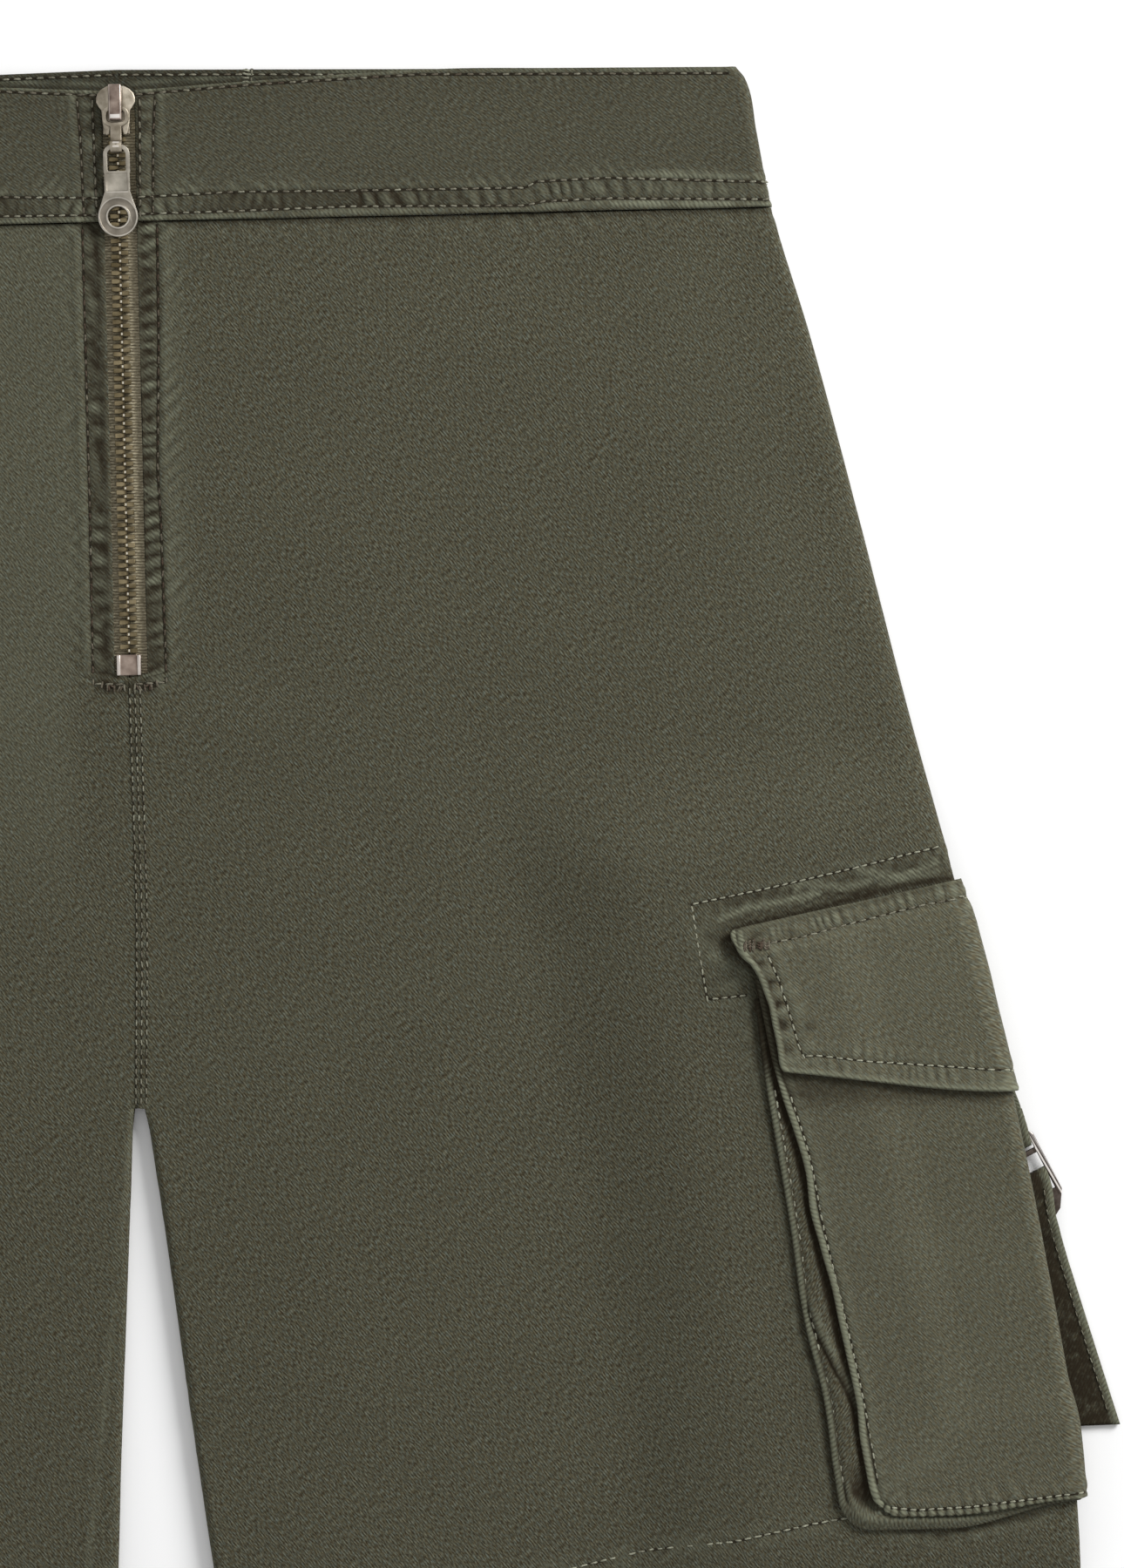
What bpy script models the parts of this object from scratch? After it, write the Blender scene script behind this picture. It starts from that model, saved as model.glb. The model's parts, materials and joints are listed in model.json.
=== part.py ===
"""Cargo shorts laid flat on their back, in metres, with +Z up and +Y towards the waist.

+X is the wearer's left. The origin is under the middle of the garment, on the surface
that it lies on. Heights in the tables are above the crotch, along Y. Every panel is a
wall of cloth: the two layers of each leg lie on each other and turn round at the side
and at the inseam, and the pockets wrap the side folds, so their back halves lie under
the leg and lift it.
"""

import math
from collections import namedtuple

import bmesh
import bpy
from mathutils import Matrix, Vector

# Cloth and the gaps that part the pieces
CLOTH = 0.0012
BAND_CLOTH = 0.0018
TRIM_CLOTH = 0.0010
SEAM_GAP = 0.0003
FOLD_GAP = 0.0007

# The whole garment, as heights above the crotch
CROTCH_Y = -0.05565
WAIST_SEAM = 0.2545
BACK_SEAM = 0.2570
HEM_INNER = -0.1872
HEM_OUTER = -0.1452
BODY_INSIDE = 0.0022
ZIP_INSIDE = 0.0030

# Half widths of the garment at its side folds, from the waist to the hem
SideRow = namedtuple("SideRow", "height out")
SIDE = [
    SideRow(0.3000, 0.1765),
    SideRow(0.2945, 0.1783),
    SideRow(0.2915, 0.1806),
    SideRow(0.2764, 0.1835),
    SideRow(0.2543, 0.1874),
    SideRow(0.2173, 0.1976),
    SideRow(0.1657, 0.2102),
    SideRow(0.1155, 0.2218),
    SideRow(0.0702, 0.2328),
    SideRow(0.0000, 0.2487),
    SideRow(-0.0480, 0.2573),
    SideRow(-0.0982, 0.2648),
    SideRow(-0.1382, 0.2668),
    SideRow(-0.1900, 0.2672),
]

# Distance of each leg's inner fold from the middle, from the crotch to the hem
InseamRow = namedtuple("InseamRow", "height left right")
INSEAM = [
    InseamRow(0.0000, 0.0016, 0.0016),
    InseamRow(-0.0296, 0.0056, 0.0034),
    InseamRow(-0.0648, 0.0098, 0.0055),
    InseamRow(-0.0949, 0.0133, 0.0073),
    InseamRow(-0.1250, 0.0171, 0.0088),
    InseamRow(-0.1900, 0.0261, 0.0124),
]

# Upper edges of the front and back waistbands, across from the middle
BandRow = namedtuple("BandRow", "across front back")
BAND_TOP = [
    BandRow(0.000, 0.2920, 0.2985),
    BandRow(0.038, 0.2942, 0.2977),
    BandRow(0.087, 0.2961, 0.2966),
    BandRow(0.117, 0.2956, 0.2958),
    BandRow(0.180, 0.2945, 0.2945),
]

BAND_FOLD = 0.12

# Long soft swells of the front layer: where each lies, its reach and how far it rises
Swell = namedtuple("Swell", "across height reach_x reach_y rise")
SWELLS = [
    Swell(0.190, 0.115, 0.055, 0.085, 0.0008),
    Swell(0.100, 0.175, 0.040, 0.070, -0.0004),
    Swell(0.085, 0.020, 0.045, 0.110, 0.0006),
    Swell(0.128, -0.115, 0.022, 0.085, -0.0006),
    Swell(0.160, -0.095, 0.018, 0.080, 0.0006),
    Swell(0.060, -0.100, 0.025, 0.070, 0.0004),
]
SWELL_CLEAR = (0.014, 0.040)

# The pile of pocket, flap and strap under each leg, and how the leg comes down from it
STACK = 0.0054
STACK_INWARD = (0.130, 0.088)
STACK_ABOVE = (0.104, 0.064)
STACK_BELOW = (-0.168, -0.127)

# Panels: columns along a fold, across the flat cloth and beside the inner edge
FOLD_SHARES = (0.0, 0.07, 0.36, 0.68, 1.0)
SIDE_COLUMNS = (0.012, 0.034, 0.060, 0.088, 0.106, 0.128)
INNER_COLUMNS = (0.036, 0.013, 0.0032, 0.0020, 0.0011, 0.0004, 0.0)
CROTCH_TURN = 0.008
PANEL_ROWS = (0.232, 0.205, 0.172, 0.146)
BODY_ROWS = (0.104, 0.090, 0.078, 0.064, 0.032, 0.010)
LEG_ROWS = (-0.0035, -0.008, -0.022, -0.048, -0.078, -0.105, -0.127, -0.136)
HEM_START = -0.127

# Zip, centred on the front, as heights above the crotch
ZIP_BOTTOM = 0.1236
ZIP_EDGE_LEFT = 0.0053
ZIP_EDGE_RIGHT = 0.0042
TAPE = 0.0008
TAPE_WIDTH = 0.0120
TAPE_FOOT = 0.1190
TAPE_HEAD = 0.2910
CHAIN_HALF = 0.0029
CHAIN_RISE = 0.0017
CHAIN_FOOT = 0.1305
CHAIN_HEAD = 0.2860
STOP_HALF = 0.0035
STOP_FOOT = 0.1242
STOP_HEAD = 0.1302
STOP_RISE = 0.0021

# Slider: its plate's half widths from the upper end to the lower, and its bail
PlateRow = namedtuple("PlateRow", "height half")
SLIDER = [
    PlateRow(0.2930, 0.0034),
    PlateRow(0.2924, 0.0048),
    PlateRow(0.2912, 0.0056),
    PlateRow(0.2898, 0.0056),
    PlateRow(0.2884, 0.0048),
    PlateRow(0.2864, 0.0041),
    PlateRow(0.2830, 0.0039),
    PlateRow(0.2800, 0.0036),
    PlateRow(0.2790, 0.0028),
]
PLATE = 0.0011
FLANGE_HALF = (0.0032, 0.0038)
BAIL_HALF = 0.0020
BAIL_CLEAR = 0.0022
BAIL_WALL = 0.0009
BAIL_LOWER = 0.28310
BAIL_UPPER = 0.29280
BAIL_ROUND = 0.0015

# Link and pull, measured from the link's axis under the bail
LINK_AXIS = 0.28655
LINK = 0.0012
LINK_BAR = 0.0013
EYE_HALF = (0.00385, 0.00295)
EYE_HOLE = (0.00255, 0.00165)
PULL_AXIS = 0.2756
NECK_HALF = 0.0016
LOOP_RADIUS = 0.0019
LOOP_BORE = 0.0012
PULL = 0.0013
PULL_TILT = math.radians(3.4)
PULL_FRAME = (0.0040, 0.0070)
PULL_WINDOW = (0.00265, 0.00065, 0.0070)
PULL_PLATE = (0.0035, 0.0133)
PULL_DISC = (0.0202, 0.0058, 0.0029)

# Pocket: edges of its face and of its bellows on the front, at heights down the leg
PocketRow = namedtuple("PocketRow", "height face gusset")
POCKET = [
    PocketRow(0.0440, 0.1755, 0.1745),
    PocketRow(0.0277, 0.1788, 0.1772),
    PocketRow(0.0060, 0.1827, 0.1795),
    PocketRow(-0.0169, 0.1892, 0.1829),
    PocketRow(-0.0383, 0.1930, 0.1860),
    PocketRow(-0.0644, 0.1986, 0.1892),
    PocketRow(-0.0870, 0.2031, 0.1943),
    PocketRow(-0.1106, 0.2068, 0.1970),
    PocketRow(-0.1250, 0.2090, 0.1992),
]
POCKET_MOUTH = (0.0360, 0.0480)
FACE_FOOT = (-0.1165, -0.1212, -0.1172)
FACE_OUT = 0.0009
GUSSET_REACH = 0.0200
GUSSET_FOOT = -0.1253
GUSSET_CORNER = 0.0090
GUSSET_CLEAR = 0.0010
GUSSET_SWELL = 0.11
FACE_RAMP = (0.036, 0.021)

# Flap: fold along the top, pointed edge below, from its own edge to the side fold
FLAP_TOP = (0.0463, 0.0604)
FLAP_FOOT = (0.0067, -0.0008)
FLAP_EDGE = (0.1712, 0.1858)
FLAP_ROOT_OUT = 0.0013
FLAP_CLEAR = 0.0006

# Buckle: a flat frame with two slots, leaning on the side fold
BUCKLE_CORNER = (0.2559, -0.0121)
BUCKLE_LEAN = math.radians(26.3)
BUCKLE_WIDTH = 0.0270
BUCKLE_SIDE = 0.0192
BUCKLE_BAR = 0.0016
BUCKLE_SLOTS = ((0.0016, 0.0050), (0.0066, 0.0180))
BUCKLE_LIP = ((0.0030, 0.0240), (0.0054, 0.0254))
BUCKLE_WALL = 0.0012
BUCKLE_LEVEL = 0.0018

# Strap and tab: outer edge, level and slant of the cloth at stations along each
TrimRow = namedtuple("TrimRow", "height out level slant")
STRAP = [
    TrimRow(-0.0977, 0.2796, 0.0005, 1),
    TrimRow(-0.0800, 0.2744, 0.0005, 3),
    TrimRow(-0.0642, 0.2698, 0.0005, 6),
    TrimRow(-0.0431, 0.2638, 0.0005, 12),
    TrimRow(-0.0330, 0.2616, 0.0005, 20),
    TrimRow(-0.0262, 0.2601, 0.0005, 26),
    TrimRow(-0.0239, 0.2593, 0.0008, 26),
    TrimRow(-0.0230, 0.2590, 0.0018, 26),
    TrimRow(-0.0239, 0.2593, 0.0028, 26),
    TrimRow(-0.0262, 0.2597, 0.0031, 26),
    TrimRow(-0.0310, 0.2592, 0.0031, 22),
    TrimRow(-0.0380, 0.2582, 0.0031, 18),
]
STRAP_WIDTH = 0.0215
TAB = [
    TrimRow(0.0075, 0.2488, 0.0012, 18),
    TrimRow(0.0010, 0.2508, 0.0012, 20),
    TrimRow(-0.0050, 0.2524, 0.0006, 24),
    TrimRow(-0.0120, 0.2541, 0.0005, 26),
    TrimRow(-0.0150, 0.2550, 0.0005, 26),
    TrimRow(-0.0159, 0.2554, 0.0009, 26),
    TrimRow(-0.0163, 0.2556, 0.0018, 26),
    TrimRow(-0.0159, 0.2554, 0.0027, 26),
    TrimRow(-0.0150, 0.2550, 0.0031, 26),
    TrimRow(-0.0110, 0.2537, 0.0031, 26),
    TrimRow(-0.0060, 0.2521, 0.0031, 24),
]
TAB_WIDTH = 0.0200

# Colour, roughness and metallic value of each material
OLIVE = ((0.080, 0.077, 0.052, 1.0), 0.85, 0.0)
OLIVE_WORN = ((0.102, 0.100, 0.072, 1.0), 0.85, 0.0)
TAPE_BEIGE = ((0.190, 0.160, 0.105, 1.0), 0.85, 0.0)
OLD_BRASS = ((0.300, 0.230, 0.130, 1.0), 0.35, 1.0)
OLD_NICKEL = ((0.480, 0.420, 0.370, 1.0), 0.30, 1.0)


def clear_scene():
    for thing in list(bpy.data.objects):
        bpy.data.objects.remove(thing, do_unlink=True)


def collection(name):
    group = bpy.data.collections.new(name)
    bpy.context.scene.collection.children.link(group)
    return group


def material(name, finish):
    color, roughness, metallic = finish
    made = bpy.data.materials.new(name)
    made.use_nodes = True
    shader = made.node_tree.nodes["Principled BSDF"]
    shader.inputs["Base Color"].default_value = color
    shader.inputs["Roughness"].default_value = roughness
    shader.inputs["Metallic"].default_value = metallic
    made.diffuse_color = color
    return made


def ramp(value, start, end):
    """0 before start, 1 after end, smooth between; start may be the larger."""
    share = min(1.0, max(0.0, (value - start) / (end - start)))
    return share * share * (3.0 - 2.0 * share)


def read_row(rows, key, value, field):
    """A column of a table at one value of its key column, on a smooth curve."""
    rows = sorted(rows, key=lambda row: getattr(row, key))
    at = [getattr(row, key) for row in rows]
    out = [getattr(row, field) for row in rows]
    slopes = [(out[i + 1] - out[i]) / (at[i + 1] - at[i]) for i in range(len(at) - 1)]
    i = max(0, min(len(slopes) - 1, sum(1 for a in at[1:-1] if a <= value)))
    width = at[i + 1] - at[i]
    t = min(1.0, max(0.0, (value - at[i]) / width))
    before = (slopes[max(0, i - 1)] + slopes[i]) / 2
    after = (slopes[i] + slopes[min(len(slopes) - 1, i + 1)]) / 2
    blend = t * t * (3 - 2 * t)
    bend = t * (1 - t) * ((1 - t) * before - t * after) * width
    return out[i] + (out[i + 1] - out[i]) * blend + bend


def side_edge(height):
    return read_row(SIDE, "height", height, "out")


def inside_room(height):
    """Height of the room between the two layers, which is deeper over the zip."""
    return BODY_INSIDE + (ZIP_INSIDE - BODY_INSIDE) * ramp(height, 0.085, 0.115)


def stack_lift(inward, height):
    """How far the pile under a pocket lifts the leg, by distance in from the side fold."""
    across = ramp(inward, *STACK_INWARD)
    return STACK * across * ramp(height, *STACK_ABOVE) * ramp(height, *STACK_BELOW)


def front_swell(across, height):
    rise = 0.0
    for swell in SWELLS:
        dx = (across - swell.across) / swell.reach_x
        dy = (height - swell.height) / swell.reach_y
        rise += swell.rise * math.exp(-dx * dx - dy * dy)
    return rise * ramp(across, *SWELL_CLEAR)


def layer_top(height):
    """Level of the front layer's inner face over the surface, with nothing under it."""
    return CLOTH + inside_room(height)


def fold_radius(height, wall):
    """Outer radius of a side fold or inner fold for cloth of this thickness."""
    return (layer_top(height) - wall) / 2 + wall


def cloth_level(face, across, height, wall):
    """Level of the outer face of the front (1) or back (-1) layer."""
    inward = side_edge(height) - across
    lift = stack_lift(inward, height)
    if face < 0:
        return lift
    return lift + layer_top(height) + wall + front_swell(across, height)


def on_side(side, along, height, out, wall=CLOTH):
    """A point on the leg, by distance along the cloth from the side fold.

    along is positive on the front and negative on the back, and out is the distance
    out from the cloth's outer face."""
    radius = fold_radius(height, wall)
    middle = side_edge(height) - radius
    quarter = radius * math.pi / 2
    if abs(along) <= quarter:
        angle = along / radius
        x = middle + (radius + out) * math.cos(angle)
        level = stack_lift(radius, height) + radius
        z = level + (radius + out) * math.sin(angle)
    else:
        face = 1 if along > 0 else -1
        x = middle - (abs(along) - quarter)
        z = cloth_level(face, x, height, wall) + face * out
    return Vector((side * x, height + CROTCH_Y, z))


def along_from_edge(height, across):
    """Distance along the cloth from the side fold to a point across the front."""
    radius = fold_radius(height, CLOTH)
    return side_edge(height) - radius - across + radius * math.pi / 2


def inner_edge(side, face, height):
    """Where a panel ends towards the middle: at the zip, the centre seam or the inseam."""
    if height < 0:
        return read_row(INSEAM, "height", height, "left" if side > 0 else "right")
    if face > 0 and height > ZIP_BOTTOM:
        return ZIP_EDGE_LEFT if side > 0 else ZIP_EDGE_RIGHT
    return SEAM_GAP / 2


def on_inseam(side, face, distance, height):
    """A point of a panel's middle surface, by distance from its inner edge."""
    edge = inner_edge(side, face, height)
    flat_x = edge + distance
    flat_z = cloth_level(face, flat_x, height, CLOTH) - face * CLOTH / 2
    turn = ramp(-height, 0.0, CROTCH_TURN)
    radius = fold_radius(height, CLOTH)
    quarter = radius * math.pi / 2
    along = distance + FOLD_GAP
    if along < quarter:
        angle = along / radius
        x = edge + radius - (radius - CLOTH / 2) * math.cos(angle)
        z = radius + face * (radius - CLOTH / 2) * math.sin(angle)
    else:
        x = edge + radius + along - quarter
        z = flat_z
    return Vector((side * (flat_x + (x - flat_x) * turn), height + CROTCH_Y,
                   flat_z + (z - flat_z) * turn))


def panel_row(side, face, row_height):
    """One row of a panel's middle surface, from the side fold to the inner edge."""
    width = side_edge(row_height(0.0)) - inner_edge(side, face, row_height(1.0))
    row = []
    for share in FOLD_SHARES:
        height = row_height(0.0)
        quarter = fold_radius(height, CLOTH) * math.pi / 2
        along = FOLD_GAP / 2 + (quarter - FOLD_GAP / 2) * share
        row.append(on_side(side, face * along, height, -CLOTH / 2))
    for inward in SIDE_COLUMNS:
        height = row_height(inward / width)
        quarter = fold_radius(height, CLOTH) * math.pi / 2
        row.append(on_side(side, face * (quarter + inward), height, -CLOTH / 2))
    inner = []
    for distance in INNER_COLUMNS:
        inner.append(on_inseam(side, face, distance, row_height(1.0 - distance / width)))
    height = row_height((1.0 + (SIDE_COLUMNS[-1] - INNER_COLUMNS[0]) / width) / 2)
    across = (abs(row[-1].x) + abs(inner[0].x)) / 2
    level = cloth_level(face, across, height, CLOTH) - face * CLOTH / 2
    row.append(Vector((side * across, height + CROTCH_Y, level)))
    return row + inner


def panel_heights(face):
    """Heights of a panel's rows, each as a function of the share from side to middle."""
    seam = (WAIST_SEAM if face > 0 else BACK_SEAM) - SEAM_GAP
    side_seam = WAIST_SEAM - SEAM_GAP
    rows = [lambda share: side_seam + (seam - side_seam) * ramp(share, 0.35, 1.0)]
    fixed = list(PANEL_ROWS)
    fixed += [ZIP_BOTTOM + 0.0004, ZIP_BOTTOM - 0.0004] if face > 0 else [ZIP_BOTTOM]
    fixed += list(BODY_ROWS) + [0.0, -0.0005]
    rows += [lambda share, height=height: height for height in fixed]

    def slanted(height):
        sink = (height - HEM_START) / (HEM_OUTER - HEM_START)

        def at(share):
            hem = HEM_OUTER + (HEM_INNER - HEM_OUTER) * share
            return HEM_START + (hem - HEM_START) * sink
        return at

    for height in LEG_ROWS:
        rows.append(slanted(height) if height < HEM_START else (lambda s, h=height: h))
    rows.append(slanted(HEM_OUTER))
    return rows


def cloth_wall(name, rows, wall, finish, group):
    """A wall of cloth round a middle surface, whose points come in rows of equal length."""
    across = len(rows[0])
    bpy.ops.mesh.primitive_grid_add(x_subdivisions=across - 1, y_subdivisions=len(rows) - 1)
    piece = bpy.context.object
    piece.name = name
    piece.data.name = name
    points = [point for row in rows for point in row]
    for vertex, point in zip(piece.data.vertices, points):
        vertex.co = point
    thicken = piece.modifiers.new("Wall", "SOLIDIFY")
    thicken.thickness = wall
    thicken.offset = 0.0
    thicken.use_even_offset = True
    dress(piece, finish, group)
    piece.data.shade_smooth()
    return piece


def dress(piece, finish, group):
    piece.data.materials.clear()
    piece.data.materials.append(finish)
    for old in list(piece.users_collection):
        old.objects.unlink(piece)
    group.objects.link(piece)


def panels(finish, group):
    for face, part in ((1, "front_panel"), (-1, "back_panel")):
        for side, letter in ((1, "L"), (-1, "R")):
            rows = [panel_row(side, face, height) for height in panel_heights(face)]
            cloth_wall(f"{part}_{letter}", rows, CLOTH, finish, group)


def band_point(face, side, across_share, up_share):
    """A point of the waistband's middle surface, from the side fold to the middle."""
    foot = WAIST_SEAM if face > 0 else WAIST_SEAM + (BACK_SEAM - WAIST_SEAM) * (
        ramp(across_share, 0.35, 1.0))
    start = ZIP_EDGE_LEFT if side > 0 else ZIP_EDGE_RIGHT
    if face < 0:
        start = 0.0
    guess = side_edge(foot) * (1 - across_share)
    top = read_row(BAND_TOP, "across", guess, "front" if face > 0 else "back")
    height = foot + (top - foot) * up_share
    radius = fold_radius(height, BAND_CLOTH)
    quarter = radius * math.pi / 2
    if across_share <= BAND_FOLD:
        along = FOLD_GAP / 2 + (quarter - FOLD_GAP / 2) * across_share / BAND_FOLD
    else:
        share = (across_share - BAND_FOLD) / (1 - BAND_FOLD)
        along = quarter + (side_edge(height) - radius - start) * share
    return on_side(side, face * along, height, -BAND_CLOTH / 2, BAND_CLOTH)


def waistband(finish, group):
    shares = [BAND_FOLD * share for share in FOLD_SHARES]
    shares += [BAND_FOLD + (1 - BAND_FOLD) * step / 7 for step in range(1, 8)]
    ups = (0.0, 0.18, 0.5, 0.82, 1.0)
    for side, letter in ((1, "L"), (-1, "R")):
        rows = [[band_point(1, side, share, up) for share in shares] for up in ups]
        cloth_wall(f"waistband_front_{letter}", rows, BAND_CLOTH, finish, group)
    rows = []
    for up in ups:
        left = [band_point(-1, 1, share, up) for share in shares]
        right = [band_point(-1, -1, share, up) for share in reversed(shares[:-1])]
        rows.append(left + right)
    cloth_wall("waistband_back", rows, BAND_CLOTH, finish, group)


def block(name, low, high, bevel, finish, group):
    """A box between two corners, its edges taken off by bevel."""
    bpy.ops.mesh.primitive_cube_add(size=1.0)
    piece = bpy.context.object
    piece.name = name
    piece.data.name = name
    size = Vector(high) - Vector(low)
    middle = (Vector(high) + Vector(low)) / 2
    place = Matrix.Translation(middle) @ Matrix.Diagonal((*size, 1.0))
    piece.data.transform(place)
    if bevel:
        edge = piece.modifiers.new("Edge", "BEVEL")
        edge.width = bevel
        edge.segments = 1
    dress(piece, finish, group)
    return piece


def zip_fastener(finishes, group):
    bed = layer_top(CHAIN_HEAD) - SEAM_GAP
    for side, letter in ((1, "L"), (-1, "R")):
        xs = sorted((side * SEAM_GAP / 2, side * TAPE_WIDTH))
        low = (xs[0], TAPE_FOOT + CROTCH_Y, bed - TAPE)
        high = (xs[1], TAPE_HEAD + CROTCH_Y, bed)
        block(f"zip_tape_{letter}", low, high, 0.0, finishes["tape"], group)
    seat = bed + SEAM_GAP
    low = (-CHAIN_HALF, CHAIN_FOOT + CROTCH_Y, seat)
    high = (CHAIN_HALF, CHAIN_HEAD + CROTCH_Y, seat + CHAIN_RISE)
    block("zip_chain", low, high, 0.0005, finishes["brass"], group)
    low = (-STOP_HALF, STOP_FOOT + CROTCH_Y, seat)
    high = (STOP_HALF, STOP_HEAD + CROTCH_Y, seat + STOP_RISE)
    block("zip_bottom_stop", low, high, 0.0004, finishes["nickel"], group)
    plate_foot = seat + CHAIN_RISE + SEAM_GAP
    slider(seat, plate_foot, finishes["nickel"], group)
    axis_level = plate_foot + PLATE + BAIL_CLEAR / 2
    link(axis_level, finishes["nickel"], group)
    pull(axis_level, finishes["nickel"], group)


def flat_piece(name, outlines, thickness, chamfer, place, finish, group):
    """A flat piece with holes from closed outlines, its edges chamfered, then placed."""
    curve = bpy.data.curves.new(name, "CURVE")
    curve.dimensions = "2D"
    curve.fill_mode = "BOTH"
    curve.extrude = thickness / 2 - chamfer
    curve.bevel_depth = chamfer
    curve.bevel_resolution = 0
    curve.offset = -chamfer
    for outline in outlines:
        spline = curve.splines.new("POLY")
        spline.points.add(len(outline) - 1)
        for point, (x, y) in zip(spline.points, outline):
            point.co = (x, y, 0.0, 1.0)
        spline.use_cyclic_u = True
    guide = bpy.data.objects.new(name + "_outline", curve)
    group.objects.link(guide)
    bpy.context.view_layer.update()
    seen = guide.evaluated_get(bpy.context.evaluated_depsgraph_get())
    mesh = bpy.data.meshes.new_from_object(seen)
    bpy.data.objects.remove(guide)
    edit = bmesh.new()
    edit.from_mesh(mesh)
    bmesh.ops.remove_doubles(edit, verts=edit.verts, dist=1e-6)
    bmesh.ops.recalc_face_normals(edit, faces=edit.faces)
    edit.to_mesh(mesh)
    edit.free()
    mesh.transform(place)
    mesh.name = name
    piece = bpy.data.objects.new(name, mesh)
    group.objects.link(piece)
    dress(piece, finish, group)
    return piece


def combine(piece, other, operation, cutters):
    """Join another solid to a piece or cut it away, with the other kept as a guide."""
    cut = piece.modifiers.new(other.name, "BOOLEAN")
    cut.operation = operation
    cut.solver = "EXACT"
    cut.object = other
    for old in list(other.users_collection):
        old.objects.unlink(other)
    cutters.objects.link(other)
    other.hide_render = True
    other.display_type = "WIRE"


def arc(centre, radius, start, end, steps):
    """Points of an arc about a centre, angles in degrees."""
    points = []
    for step in range(steps + 1):
        angle = math.radians(start + (end - start) * step / steps)
        points.append((centre[0] + radius * math.cos(angle),
                       centre[1] + radius * math.sin(angle)))
    return points


def round_oval(half_x, half_y, centre_y, power, steps):
    """A closed oval between an ellipse (power 2) and a rectangle (higher powers)."""
    points = []
    for step in range(steps):
        angle = 2 * math.pi * step / steps
        c, s = math.cos(angle), math.sin(angle)
        points.append((half_x * math.copysign(abs(c) ** (2 / power), c),
                       centre_y + half_y * math.copysign(abs(s) ** (2 / power), s)))
    return points


def slider(seat, foot, finish, group):
    """The slider's upper plate with its two flanges and the bail that holds the link."""
    cutters = bpy.data.collections["cutters"]
    right = [(row.half, row.height + CROTCH_Y) for row in SLIDER]
    left = [(-x, y) for x, y in reversed(right)]
    place = Matrix.Translation((0, 0, foot + PLATE / 2))
    piece = flat_piece("zip_slider", [left + right], PLATE, 0.0002, place, finish, group)
    overlap = 0.0003
    for side in (-1, 1):
        xs = sorted(side * x for x in FLANGE_HALF)
        low = (xs[0], SLIDER[-2].height + CROTCH_Y, seat)
        high = (xs[1], SLIDER[5].height + CROTCH_Y, foot + overlap)
        name = f"slider_flange_{'L' if side > 0 else 'R'}"
        flange = block(name, low, high, 0.0, finish, group)
        combine(piece, flange, "UNION", cutters)
    root = -overlap
    top = BAIL_CLEAR + BAIL_WALL
    lower = BAIL_LOWER - LINK_AXIS
    upper = BAIL_UPPER - LINK_AXIS
    outer = [(lower, root)]
    outer += arc((lower + BAIL_ROUND, top - BAIL_ROUND), BAIL_ROUND, 180, 90, 4)
    outer += arc((upper - BAIL_ROUND, top - BAIL_ROUND), BAIL_ROUND, 90, 0, 4)
    outer += [(upper, root)]
    inset = BAIL_ROUND - BAIL_WALL
    inner = [(upper - BAIL_WALL, root)]
    inner += arc((upper - BAIL_ROUND, BAIL_CLEAR - inset), inset, 0, 90, 2)
    inner += arc((lower + BAIL_ROUND, BAIL_CLEAR - inset), inset, 90, 180, 2)
    inner += [(lower + BAIL_WALL, root)]
    # The bail's outline is drawn in Y and Z and thickened along X.
    upright = Matrix(((0, 0, 1, 0), (1, 0, 0, 0), (0, 1, 0, 0), (0, 0, 0, 1)))
    place = Matrix.Translation((0, LINK_AXIS + CROTCH_Y, foot + PLATE)) @ upright
    bail = flat_piece("slider_bail", [outer + inner], 2 * BAIL_HALF, 0.0002, place, finish,
                      group)
    combine(piece, bail, "UNION", cutters)


def cylinder_x(name, radius, length, centre, sides, finish, group):
    bpy.ops.mesh.primitive_cylinder_add(vertices=sides, radius=radius, depth=length)
    piece = bpy.context.object
    piece.name = name
    turn = Matrix.Rotation(math.pi / 2, 4, "Y")
    piece.data.transform(Matrix.Translation(centre) @ turn)
    dress(piece, finish, group)
    return piece


def link(level, finish, group):
    """The link: an eye under the bail, a neck and a loop round the pull's upper bar."""
    cutters = bpy.data.collections["cutters"]
    half_x, half_y = EYE_HALF
    middle = LINK_BAR / 2 - half_y
    reach = LINK_AXIS - PULL_AXIS
    oval = round_oval(half_x, half_y, middle, 2.6, 28)
    lowest = middle - half_y * 0.86
    body = [(x, y) for x, y in oval if abs(x) > NECK_HALF or y > lowest]
    cut = next(i for i in range(len(body)) if body[i][0] < 0 < body[(i + 1) % len(body)][0]
               and body[i][1] < middle)
    body = body[cut + 1:] + body[:cut + 1]
    outline = body + [(-NECK_HALF, middle - half_y), (-NECK_HALF, -reach),
                      (NECK_HALF, -reach), (NECK_HALF, middle - half_y)]
    hole = round_oval(*EYE_HOLE, middle, 4.0, 16)
    piece = flat_piece("zip_link", [outline, hole], LINK, 0.00015, Matrix.Identity(4),
                       finish, group)
    centre = (0, -reach, 0)
    width = 2 * NECK_HALF
    loop = cylinder_x("link_loop", LOOP_RADIUS, width, centre, 16, finish, group)
    combine(piece, loop, "UNION", cutters)
    bore = cylinder_x("link_bore", LOOP_BORE, 2 * width, centre, 12, finish, group)
    combine(piece, bore, "DIFFERENCE", cutters)
    pivot = Vector((0, LINK_AXIS + CROTCH_Y, level))
    for thing in (piece, loop, bore):
        thing.location = pivot


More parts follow.
